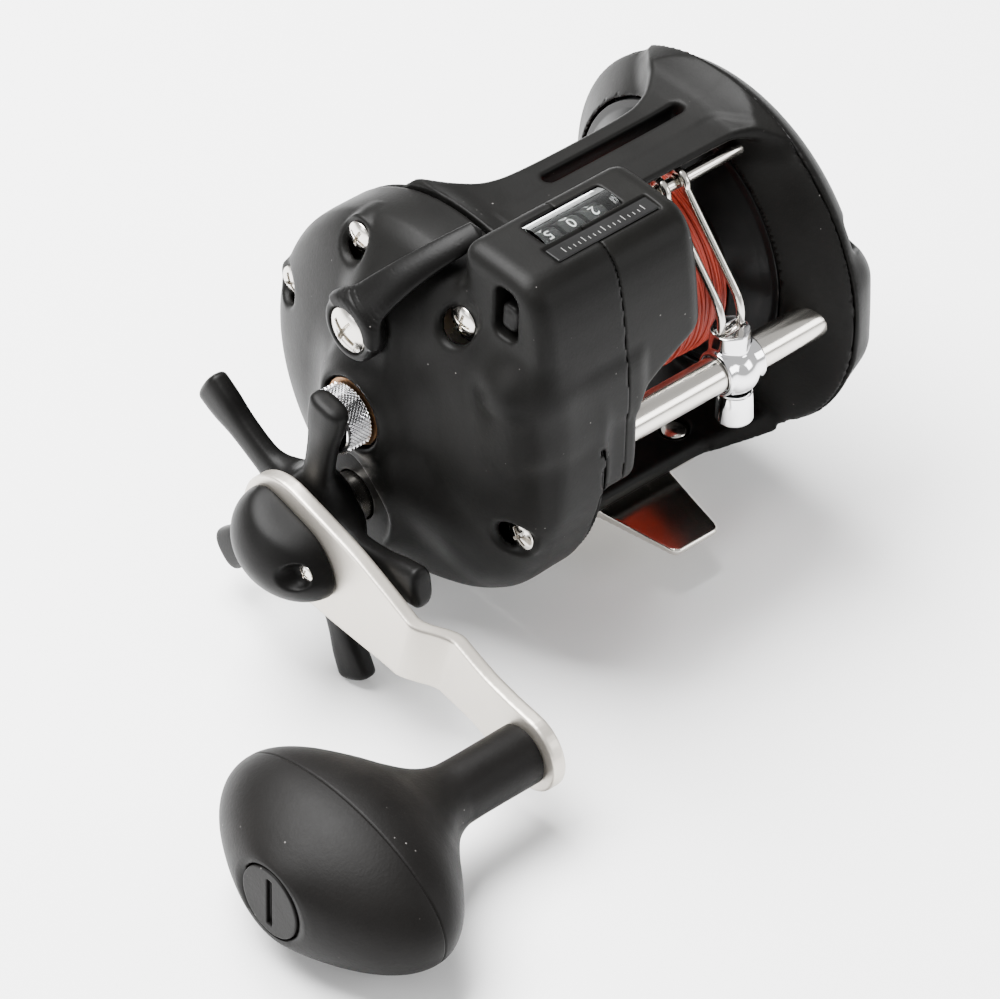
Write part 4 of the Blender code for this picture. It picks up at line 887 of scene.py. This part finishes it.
# -------------------------------------------------------------- small mouldings
LEVER_PATH = np.array(((-58.8, -0.4, 66.6, 5.2, 1.6), (-58.0, -2.6, 71.4, 4.3, 1.5),
                       (-54.1, -5.6, 76.3, 3.5, 1.6), (-49.2, -8.4, 80.2, 3.0, 1.6),
                       (-44.6, -10.6, 82.9, 2.7, 1.4), (-40.2, -12.0, 84.6, 2.4, 1.2)))


def lever_field(x, y, z):
    d = pole(x, y, z, LEVER, -60.4, -56.6, 6.6, 1.2)
    rows = eased(LEVER_PATH, 6)
    nearest, blade = None, None
    for a, b in zip(rows, rows[1:]):
        run = Vector(b[:3]) - Vector(a[:3])
        reach = run.length
        wide = Vector((0.0, -1.0, -0.25)).cross(run).cross(run).normalized()
        deep = run.normalized().cross(wide)
        px, py, pz = x - a[0], y - a[1], z - a[2]
        t = np.clip((px * run.x + py * run.y + pz * run.z) / (reach * reach), 0.0, 1.0)
        half, thick = a[3] + (b[3] - a[3]) * t, a[4] + (b[4] - a[4]) * t
        px, py, pz = px - run.x * t, py - run.y * t, pz - run.z * t
        w = (px * wide.x + py * wide.y + pz * wide.z) / half
        h = (px * deep.x + py * deep.y + pz * deep.z) / thick
        off = (px * run.x + py * run.y + pz * run.z) / reach
        away = px * px + py * py + pz * pz
        body = (np.hypot(w, h) - 1.0) * thick * 0.9 + np.abs(off)
        if nearest is None:
            nearest, blade = away, body
        else:
            closer = away < nearest
            nearest, blade = np.where(closer, away, nearest), np.where(closer, body, blade)
    d = join(d, blade, 3.0)
    d = cut(d, pole(x, y, z, LEVER, OUTSIDE, -50.0, 2.3))
    return cut(d, pole(x, y, z, LEVER, OUTSIDE, -59.8, 5.0), 0.3)


def along_way(y, z, way):
    """Place along and across a direction out from the drive shaft."""
    u, v = y - DRIVE[0], z - DRIVE[1]
    return u * way[0] + v * way[1], u * way[1] - v * way[0]


STAR_ANGLE, STAR_ARMS = 28.2, 5
STAR_ARM = eased(((2.0, -66.8, 6.2, 3.2), (5.0, -66.8, 5.4, 3.1), (10.0, -67.2, 3.9, 2.8),
                  (15.0, -68.0, 3.1, 2.3), (22.0, -68.2, 3.2, 2.3), (27.0, -68.3, 4.0, 2.5),
                  (31.2, -68.3, 4.3, 2.5), (33.0, -68.3, 4.3, 2.4)))


ARM_POWER = 2.7


def star_field(x, y, z):
    d = pole(x, y, z, DRIVE, -70.8, -62.9, 8.2, 1.6)
    for i in range(STAR_ARMS):
        a = math.radians(STAR_ANGLE + 360.0 / STAR_ARMS * i)
        s, w = along_way(y, z, (math.cos(a), math.sin(a)))
        mid, half, thick = (np.interp(s, STAR_ARM[:, 0], STAR_ARM[:, k]) for k in (1, 2, 3))
        u, t = np.abs(w) / half, np.abs(x - mid) / thick
        body = ((u ** ARM_POWER + t ** ARM_POWER) ** (1.0 / ARM_POWER) - 1.0) * thick * 0.9
        d = join(d, meet(body, between(s, 2.0, 32.8), 1.5), 4.2)
    d = np.maximum(d, -71.0 - x)
    return cut(d, pole(x, y, z, DRIVE, -75.0, -60.0, 3.5), 0.4)


ARM_LENGTH = math.hypot(KNOB[0] - DRIVE[0], KNOB[1] - DRIVE[1])
ARM_WAY = ((KNOB[0] - DRIVE[0]) / ARM_LENGTH, (KNOB[1] - DRIVE[1]) / ARM_LENGTH)
ARM_BODY = ((8.0, 11.4, 0.6), (17.0, 10.4, 1.3), (26.0, 8.9, 1.6), (33.5, 7.6, 1.6),
            (37.5, 7.5, 1.2), (41.5, 7.4, 0.8), (50.0, 6.7, 0.6), (57.0, 7.2, 0.3))


def arm_plan():
    rows = [(*polar((0.0, 0.0), 12.0, math.radians(180 - a)), 0.0) for a in range(2, 91, 8)]
    rows += [tuple(r) for r in eased(ARM_BODY)]
    rows += [(*polar((ARM_LENGTH, 0.0), 8.2, math.radians(a)), 0.0) for a in range(90, 1, -8)]
    return [(s, o + h) for s, h, o in rows] + [(s, o - h) for s, h, o in reversed(rows)]


ARM_PLAN = Outline(arm_plan())


def arm_field(x, y, z):
    s, w = along_way(y, z, ARM_WAY)
    step = np.clip((s - 33.3) / 8.4, 0.0, 1.0)
    mid = -73.0 + 5.0 * step * step * (3.0 - 2.0 * step)
    d = meet(ARM_PLAN(s, w), (np.abs(x - mid) - 1.5) * 0.85, 0.5)
    d = cut(d, pole(x, y, z, DRIVE, -80.0, -60.0, 3.5))
    return cut(d, pole(x, y, z, KNOB, -80.0, -60.0, 2.9))


CAP_SPOT = (DRIVE[0] - 11.6, DRIVE[1] + 0.6)
CAP_FLOOR, CAP_BASE = -78.9, -74.8
HEAD_LIFT = 0.1


def hub_cap_field(x, y, z):
    """Egg-shaped cap whose long way lies along the arm."""
    s, w = along_way(y, z, ARM_WAY)
    s = s - 2.4
    r = np.hypot(s / 13.0, w / (9.9 - 0.12 * s))
    dome = (np.sqrt(((x - CAP_BASE) / 10.0) ** 2 + r ** 2) - 1.0) * 9.0
    d = meet(dome, (w - 8.3 + 0.1 * (CAP_BASE - x)) * 0.98, 1.4)
    d = meet(d, x - CAP_BASE, 0.5)
    d = cut(d, pole(x, y, z, DRIVE, -78.6, -74.0, 7.0))
    d = cut(d, frustum(x, about(y, z, CAP_SPOT), CAP_FLOOR, 2.1, -90.0, 5.4), 0.5)
    return cut(d, pole(x, y, z, CAP_SPOT, -90.0, -70.0, 0.9))


def button_field(x, y, z):
    pad = block(x, y, z, (-47.0, BUTTON[0] - 2.2, BUTTON[1] - 4.4),
                (-41.6, BUTTON[0] + 2.2, BUTTON[1] + 1.2), 1.6)
    thumb = np.sqrt((x + 52.6) ** 2 + (z - BUTTON[1] + 0.6) ** 2) - 6.2
    return cut(pad, thumb, 0.6)


def foot_field(x, y, z):
    ay = np.abs(y)
    half = np.interp(ay, (12.4, 13.6, 32.0), (9.9, 9.2, 5.6))
    wing = meet((np.abs(x) - half) * 0.98, ay - 32.0, 1.6)
    plan = join(block(x, y, 0.0, (-17.5, -13.0, -9.0), (17.5, 13.0, 9.0), 1.2), wing, 1.6)
    top = np.interp(ay, (13.4, 14.8, 32.0), (2.4, 1.8, 1.2)) - z
    return meet(meet(plan, -top, 0.35), -z, 0.15)


def carriage_field(x, y, z):
    cx, ball = CARRIAGE_X, (-33.2, 41.3)
    d = pole(x, y, z, TUBE, cx - 4.6, cx + 4.6, 4.6, 0.5)
    d = join(d, np.sqrt((x - cx) ** 2 + (y - ball[0]) ** 2 + (z - ball[1]) ** 2) - 5.2, 0.4)
    six = None
    for i in range(3):
        a = math.radians(60.0 * i)
        side = np.abs((x - cx) * math.cos(a) + (y - COLLAR_Y) * math.sin(a)) - 3.75
        six = side if six is None else np.maximum(six, side)
    collar = meet(six, np.hypot(x - cx, y - COLLAR_Y) - 3.98, 0.2)
    d = join(d, meet(collar, between(z, 42.1, 50.1), 0.3), 0.4)
    d = join(d, np.maximum(np.hypot(x - cx, y - CAP_Y) - 2.4, between(z, 32.2, 38.4)), 0.3)
    d = cut(d, pole(x, y, z, TUBE, cx - 9.0, cx + 9.0, TUBE_R + 0.25), 0.15)
    return cut(d, block(x, y, z, (cx - 3.5, COLLAR_Y - 1.2, 47.4),
                        (cx + 3.5, COLLAR_Y + 1.2, 60.0), 0.9), 0.2)


def screw_field(x, y, z):
    """Cross-recessed screw head of 1 mm radius that points out along -X."""
    r = np.hypot(y, z)
    crown = np.sqrt((x - 1.54) ** 2 + r * r) - 1.9
    d = meet(meet(crown, r - 1.0, 0.07), x, 0.02)
    for a, b in ((y, z), (z, y)):
        slot = np.maximum(np.abs(a) - 0.12 + 0.10 * (x + 0.4), np.abs(b) - 0.60 - 0.5 * (x + 0.3))
        d = cut(d, np.maximum(slot, x + 0.06), 0.02)
    return d


def cap_field(x, y, z):
    d = pole(x, y, z, KNOB, KNOB_END - 0.2, KNOB_END + 1.7, 7.4, 0.35)
    slot = block(x, y, z, (KNOB_END - 3.0, KNOB[0] - 0.75, KNOB[1] - 5.4),
                 (KNOB_END + 0.8, KNOB[0] + 0.75, KNOB[1] + 5.4), 0.3)
    return cut(d, slot, 0.2)


# ------------------------------------------------------------------ make pieces
def build_mouldings():
    """Sculpted pieces; those without a box fill the box of their own solid."""
    for node, field, low, high, step, seam in (
            ("frame", frame_field, (-34.0, -41.3, 2.4), (30.0, 36.7, 80.5), 0.55, None),
            ("gear_side_cover", gear_cover_field, (-60.6, -41.3, 2.4),
             (SEAM_X + 0.2, 36.8, 88.4), 0.55, SEAM_X),
            ("counter_housing", counter_field, (SEAM_X, -40.2, 33.0), (-7.8, -15.0, 88.4),
             0.32, SEAM_X + SEAM_GAP),
            ("left_side_cover", left_cover_field, (30.0, -41.4, 2.3), (42.1, 36.8, 80.5),
             0.5, None),
            ("clutch_lever", lever_field, (-60.8, -14.6, 57.6), (-39.6, 7.4, 86.6), 0.28, None),
            ("star_drag", star_field, None, None, 0.4, None),
            ("handle_arm", arm_field, None, None, 0.35, None),
            ("handle_nut_cover", hub_cap_field, (-85.2, -14.4, 8.2), (-74.4, 14.4, 34.2),
             0.26, None),
            ("counter_reset_button", button_field, (-47.2, -30.6, 74.8), (-41.4, -25.8, 80.8),
             0.14, None),
            ("reel_foot", foot_field, (-17.7, -32.2, -0.1), (17.7, 32.2, 2.6), 0.3, None)):
        if low is None:
            low, high = ([c / MM for c in corner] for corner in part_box(node))
        fit(skin(node, field, low, high, step, seam=seam), node)


def fasten(node, pattern, points, turns, size, flip=0.0):
    """Copies of one fastener, which stand for the node or for its numbered nodes."""
    n = len(points)
    made = FASTENERS.grow(node + "s" * (n > 1), points,
                          {"Pattern": pattern, "Paint": FINISHES["polished_steel"]},
                          {"turn": turns, "flip": [flip] * n, "size": [size] * n})
    fit(made, *([node] if n == 1 else ["%s_%d" % (node, i + 1) for i in range(n)]))


def build_fasteners():
    rivet = lathe("rivet_pattern", (0.0, 0.0),
                  [(0.25, 1.35), (6.3, 1.35), (6.3, 2.6), (6.7, 2.7), (7.1, 2.45), (7.45, 1.7),
                   (7.6, 0.7), (7.62, 0.1)], 40, axis="z", sharp=60.0)
    fasten("foot_rivet", rivet, [(x, y, 0.0) for x, y in RIVETS], [0.0] * 4, 1.0)
    screw = skin("screw_pattern", screw_field, (-0.40, -1.02, -1.02), (0.05, 1.02, 1.02), 0.024)
    fasten("gear_cover_screw", screw, [(GEAR_FLOOR - HEAD_LIFT, *c) for c in GEAR_SCREWS],
           [0.4, 1.0, 0.15, 0.75], 3.1)
    fasten("left_cover_screw", screw, [(LEFT_FLOOR + HEAD_LIFT, *c) for c in LEFT_SCREWS],
           [0.2, 0.9, 0.5], 2.6, math.pi)
    fasten("clutch_lever_screw", screw, [(-59.85, *LEVER)], [0.55], 4.75)
    fasten("nut_cover_screw", screw, [(CAP_FLOOR - HEAD_LIFT, *CAP_SPOT)], [0.3], 1.8)
    for pattern in (rivet, screw):
        bpy.data.objects.remove(pattern)


def build_knob():
    form = eased(((-70.1, 6.1, 6.1), (-84.4, 6.1, 6.1), (-88.8, 6.7, 6.4), (-92.8, 9.0, 7.6),
                  (-96.8, 13.4, 9.6), (-100.8, 18.8, 11.9), (-105.3, 24.2, 13.9),
                  (-109.3, 27.2, 15.0), (-113.1, 28.2, 15.3), (-117.3, 27.3, 14.9),
                  (-121.3, 24.6, 13.7), (-124.8, 20.6, 12.2), (-127.8, 15.6, 10.5),
                  (-129.6, 11.6, 9.2), (-130.2, 9.6, 8.5)), 10)
    parting = -113.1
    xs = np.unique(np.concatenate([form[:, 0],
                                   parting + np.array((-0.5, -0.22, 0.0, 0.22, 0.5))]))
    order = np.argsort(form[:, 0])
    ry = np.interp(xs, form[order, 0], form[order, 1])
    rz = np.interp(xs, form[order, 0], form[order, 2])
    groove = 0.22 * np.exp(-((xs - parting) / 0.16) ** 2)
    turn = np.linspace(0.0, 2.0 * math.pi, 160, endpoint=False)
    tilt = math.radians(3.7)
    bore = [(-70.1, 5.4, 5.4), (-70.3, 2.8, 2.8), (KNOB_END + 2.0, 2.8, 2.8),
            (KNOB_END + 2.0, 7.65, 7.65), (xs[0] + 0.4, 7.7, 7.7), (xs[0] + 0.05, 8.2, 7.8)]
    rings = []
    for x, a, b in [*zip(xs, ry - groove, rz - groove), *bore]:
        y, z = a * np.cos(turn), b * np.sin(turn)
        rings.append(np.stack([np.full(len(turn), x),
                               KNOB[0] + y * math.cos(tilt) - z * math.sin(tilt),
                               KNOB[1] + y * math.sin(tilt) + z * math.cos(tilt)], 1))
    fit(rings_piece("handle_knob", rings, closed=True, sharp=50.0), "handle_knob")
    fit(skin("knob_end_cap", cap_field, (KNOB_END - 0.3, -67.7, 0.2),
             (KNOB_END + 1.8, -52.7, 15.2), 0.16), "knob_end_cap")


def build_turned():
    """Shafts, bushes and rings turned on a lathe."""
    def turned(node, centre, profile, facets=72, closed=False, **extra):
        fit(lathe(node, centre, profile, facets, closed, **extra), node)

    turned("spool", SPOOL, softened(
        [(-28.2, 3.3), (24.2, 3.3), (24.2, 19.6), (23.5, 20.4), (23.5, 25.4), (24.2, 26.2),
         (24.2, 27.7), (22.4, 27.7), (22.2, 26.2), (20.8, 24.6), (16.6, 20.4), (15.0, 12.5),
         (-19.0, 12.5), (-20.6, 20.4), (-24.8, 24.6), (-26.2, 26.2), (-26.4, 27.7),
         (-28.2, 27.7), (-28.2, 26.0), (-27.5, 25.2), (-27.5, 20.4), (-28.2, 19.6)], 0.3),
           160, True)
    turned("worm_shaft", TUBE, [(-41.0, 1.8), (-35.6, 1.8), (-35.0, 2.4), (28.2, 2.4),
                                (28.8, 1.8)])
    turned("drag_sleeve", DRIVE, softened([(-62.4, 3.5), (-47.1, 3.5), (-47.1, 4.9), (-62.0, 4.9),
                                           (-62.4, 4.5)], 0.15), 72, True)
    turned("drive_shaft", DRIVE, softened([(-35.6, 3.2), (-77.4, 3.2), (-78.0, 2.6)], 0.2))
    turned("knob_spindle", KNOB, softened([(-64.9, 3.4), (-65.3, 4.1), (-66.1, 4.2), (-66.2, 2.5),
                                           (KNOB_END + 4.4, 2.5), (KNOB_END + 3.8, 1.9)], 0.25))
    turned("cast_control_washer", SPOOL, softened([(-59.35, 2.6), (-58.7, 2.6), (-58.7, 6.9),
                                                   (-59.35, 6.9)], 0.1), 96, True)
    turned("guide_rod", ROD, softened([(-32.4, 1.0), (-32.1, 1.35), (27.1, 1.35),
                                       (27.4, 1.0)], 0.1))
    turned("pawl_cap", (CARRIAGE_X, CAP_Y), softened(
        [(29.55, 0.2), (29.6, 3.1), (30.2, 3.7), (34.0, 3.6), (36.6, 3.4), (36.7, 2.75),
         (31.8, 2.75), (31.8, 0.2)], 0.25), 96, axis="z")
    tube = lathe("worm_tube", TUBE, [(-34.6, 2.9), (28.4, 2.9), (28.4, TUBE_R), (-34.6, TUBE_R)],
                 96, True)
    slot = mesh_piece("tube_slot_tool", [(x, y, z) for x in (-22.5, 20.5) for y in (-34.0, -32.0)
                                         for z in (36.0, 42.0)],
                      [(0, 1, 3, 2), (4, 6, 7, 5), (0, 4, 5, 1), (2, 3, 7, 6), (0, 2, 6, 4),
                       (1, 5, 7, 3)], smooth=False)
    mod = tube.modifiers.new("slot", "BOOLEAN")
    mod.operation, mod.solver, mod.object = "DIFFERENCE", "EXACT", slot
    mesh = baked(tube)
    tube.modifiers.remove(mod)
    tube.data = mesh
    tube.data.set_sharp_from_angle(angle=math.radians(40.0))
    bpy.data.objects.remove(slot)
    fit(tube, "worm_tube")


def build_cast_control():
    body = lathe("cast_control_knob", SPOOL, softened(
        [(-65.3, 0.1), (-65.3, 5.0), (-65.1, 5.7), (-64.7, 5.95), (-60.2, 5.95), (-59.7, 5.7),
         (-59.7, 0.1)], 0.2), 120)
    # the body under the chrome knurl teeth is dark steel, as painted shade in the gaps between the
    # teeth
    fit(body, "cast_control_knob", finish="knurl_root")
    face = lathe("cast_control_face", SPOOL, softened(
        [(-65.34, 0.1), (-65.34, 5.2), (-65.0, 5.75), (-64.8, 5.6), (-64.8, 0.1)], 0.15), 120)
    fit(face, body="cast_control", finish="chrome")
    around, rows, radius = 44, 12, 5.9
    points, turn = [], []
    for i in range(rows):
        for j in range(around):
            a = 2.0 * math.pi * (j + 0.5 * (i % 2)) / around
            points.append((-60.15 - 0.41 * i, *polar(SPOOL, radius, a)))
            turn.append(a - math.pi / 2.0)
    teeth = KNURL.grow("cast_control_knurl", points,
                       {"Base": 0.00041, "Height": 0.00050, "Paint": FINISHES["chrome"]},
                       {"turn": turn})
    fit(teeth, body="cast_control", finish="chrome")


def build_line():
    """Wound line: even turns below, then crossing turns and loose bundles on top."""
    core = lathe("line_core", SPOOL, [(-18.5, 12.8), (14.5, 12.8), (15.9, LINE_R - 1.1),
                                      (-19.9, LINE_R - 1.1)], 128, True)
    fit(core, body="spool_group", finish="line_shadow")
    layers = (("wound_line", 68, 0.535, LINE_R - 0.66, 0.265, 0.010, 1.004, 3),
              ("wound_line_crossed", 32, 1.09, LINE_R - 0.34, 0.27, 0.040, 1.008, 11),
              ("wound_line_top", 13, 2.60, LINE_R - 0.12, 0.27, 0.075, 1.006, 29))
    for name, turns, pitch, radius, strand, tilt, swell, seed in layers:
        line = WINDINGS.grow(name, [(0.0, 0.0, 0.0)], {
            "Turns": turns, "Pitch": pitch * MM, "Radius": radius * MM, "Strand": strand * MM,
            "Tilt": tilt, "Swell": swell, "Seed": seed, "Paint": FINISHES["red_line"]})
        span = (turns - 1) * pitch
        line.data.transform(Matrix.Translation(Vector((-2.0 - span / 2.0, *SPOOL)) * MM))
        for v in line.data.vertices:
            v.co.x = min(max(v.co.x, LINE_SPAN[0] * MM), LINE_SPAN[1] * MM)
        if name == "wound_line":
            fit(line, "wound_line")
        else:
            fit(line, body="spool_group", finish="red_line")


def build_wires():
    spread, rod_gap = 2.45, 2.5
    hook = [polar(ROD, rod_gap, math.radians(degrees)) for degrees in range(20, 192, 10)]
    straight = [(hook[-1][0] + (-30.4 - hook[-1][0]) * t, hook[-1][1] + (56.5 - hook[-1][1]) * t)
                for t in (0.25, 0.5, 0.75, 0.95)]
    bend = [tuple(p) for p in eased([(-30.6, 56.1), (-31.3, 54.6), (COLLAR_Y, 52.8),
                                     (COLLAR_Y, 50.2)], 4)]
    leg = hook + straight + bend
    path = [(CARRIAGE_X - spread, y, z) for y, z in leg]
    for i in range(1, 12):
        a = math.pi * i / 12.0
        path.append((CARRIAGE_X - spread * math.cos(a), COLLAR_Y, 50.1 - 1.5 * math.sin(a)))
    path += [(CARRIAGE_X + spread, y, z) for y, z in reversed(leg)]
    fit(sweep("line_guide_wires", path, 0.85), "line_guide_wires")


def build_counter_face():
    arch = []
    for r, way in ((6.9, 1), (5.6, -1)):
        for i in range(25):
            angle = math.radians(90.0 - way * 28.0 + way * 56.0 * i / 24.0)
            arch.append(polar(COUNTER, r, angle))
    rings = [[(x, y, z) for y, z in arch] for x in (-35.7, -17.3)]
    fit(rings_piece("counter_window", rings, sharp=30.0), "counter_window")
    names = (("units", 5), ("tens", 0), ("hundreds", 2))
    for (name, shown), x in zip(names, WHEEL_X):
        node = "digit_wheel_" + name
        fit(lathe(node, COUNTER, softened([(x - 2.3, 1.05), (x + 2.3, 1.05), (x + 2.3, 4.5),
                                           (x - 2.3, 4.5)], 0.2), 80, True), node)
        fit(figures(name + "_figures", x, shown), body=name + "_wheel", finish="figure_white")
    build_marks()


def figures(name, x, shown):
    """Ten numerals wrapped round a wheel; they read from the angler's side."""
    bm = bmesh.new()
    for digit in range(10):
        curve = bpy.data.curves.new("numeral", "FONT")
        curve.body = str(digit)
        curve.size = 3.3
        curve.align_x, curve.align_y = "CENTER", "CENTER"
        curve.resolution_u = 3
        text = placed("numeral", curve)
        mesh = baked(text)
        part = bmesh.new()
        part.from_mesh(mesh)
        bmesh.ops.triangulate(part, faces=part.faces)
        bmesh.ops.subdivide_edges(part, edges=part.edges, cuts=1)
        bmesh.ops.solidify(part, geom=part.faces, thickness=-0.05)
        for v in part.verts:
            r = FIGURE_R + v.co.z
            a = math.radians(90.0 + 36.0 * (digit - shown)) + v.co.y / 4.6
            v.co = Vector((x - v.co.x, *polar(COUNTER, r, a)))
        part.to_mesh(mesh)
        part.free()
        bm.from_mesh(mesh)
        bpy.data.objects.remove(text)
        bpy.data.meshes.remove(mesh)
    bmesh.ops.scale(bm, vec=(MM, MM, MM), verts=bm.verts)
    bmesh.ops.recalc_face_normals(bm, faces=bm.faces)
    return from_bmesh(name, bm)


def plate_box(bm, low, high):
    made = bmesh.ops.create_cube(bm, size=1.0)
    for v in made["verts"]:
        v.co = Vector([(a + b) / 2 + c * (b - a) for a, b, c in zip(low, high, v.co)]) * MM


def build_marks():
    """Label plate with a fine border, and a scale of short strokes."""
    plate = skin("counter_label", lambda x, y, z: block(x, y, z, (-37.2, -31.0, 87.3),
                                                       (-12.8, -27.0, 87.95), 0.28),
                 (-37.3, -31.1, 87.2), (-12.7, -26.9, 88.05), 0.16)
    fit(plate, "counter_label")
    bm = bmesh.new()
    for i in range(17):
        x = -34.4 + 1.2 * i
        tall = 1.5 if i % 4 == 0 else 0.8
        plate_box(bm, (x - 0.07, -29.8, 87.9), (x + 0.07, -29.8 + tall, 87.97))
    fit(from_bmesh("counter_scale", bm), body="body", finish="mark_grey")


build_mouldings()
build_fasteners()
build_knob()
build_turned()
build_cast_control()
build_line()
build_wires()
fit(skin("levelwind_carriage", carriage_field, (CARRIAGE_X - 5.3, -38.7, 32.0),
         (CARRIAGE_X + 5.3, -27.5, 50.3), 0.16),
    "levelwind_carriage")
build_counter_face()


# ------------------------------------------------------------- stage and camera
def build_stage():
    size, gap = 3.0, 0.0002
    floor_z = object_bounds()[0][2] - gap
    mesh = bpy.data.meshes.new("studio_floor")
    mesh.from_pydata([(-size, -size, floor_z), (size, -size, floor_z), (size, size, floor_z),
                      (-size, size, floor_z)], [], [(0, 1, 2, 3)])
    floor = placed("studio_floor", mesh)
    f = Finish("studio_floor", Roughness=0.9)
    f.set(Base_Color=f.blend(f.noise(4.0), (0.97, 0.97, 0.97), (0.95, 0.95, 0.95)))
    mesh.materials.append(f.material)

    world = bpy.data.worlds.new("studio")
    world.use_nodes = True
    sky = world.node_tree.nodes["Background"].inputs
    sky["Color"].default_value, sky["Strength"].default_value = (1.0, 1.0, 1.0, 1.0), 0.75
    bpy.context.scene.world = world

    def lamp(name, place, aim, power, width, height):
        data = bpy.data.lights.new(name, "AREA")
        data.shape, data.size, data.size_y, data.energy = "RECTANGLE", width, height, power
        obj = placed(name, data)
        obj.location = place
        obj.rotation_euler = (Vector(aim) - Vector(place)).to_track_quat("-Z", "Y").to_euler()

    lamp("soft_box_over", (-0.15, 0.30, 0.85), (0.0, 0.0, 0.03), 54.0, 0.9, 0.6)
    lamp("soft_box_side", (-0.80, 0.20, 0.35), (-0.03, 0.0, 0.04), 2.6, 0.3, 0.5)
    lamp("soft_box_front", (0.50, -0.75, 0.40), (0.0, 0.0, 0.03), 4.0, 0.4, 0.4)


def build_camera():
    azimuth, roll = math.radians(-42.36), math.radians(1.295)
    back = Vector((-0.511, -0.561, 0.652)).normalized()
    right = Vector((math.cos(azimuth), math.sin(azimuth), 0.0))
    right = (right - back * right.dot(back)).normalized()
    up = back.cross(right)
    one = right * math.cos(roll) + up * math.sin(roll)
    two = up * math.cos(roll) - right * math.sin(roll)
    data = bpy.data.cameras.new("studio_camera")
    data.sensor_width, data.lens = 36.0, 253.1
    data.clip_start, data.clip_end = 0.01, 20.0
    camera = placed("studio_camera", data)
    turn = Matrix((one, two, back)).transposed().to_4x4()
    camera.matrix_world = Matrix.Translation(Vector((-0.70906, -0.75420, 0.87926))) @ turn
    bpy.context.scene.camera = camera


build_stage()
build_camera()
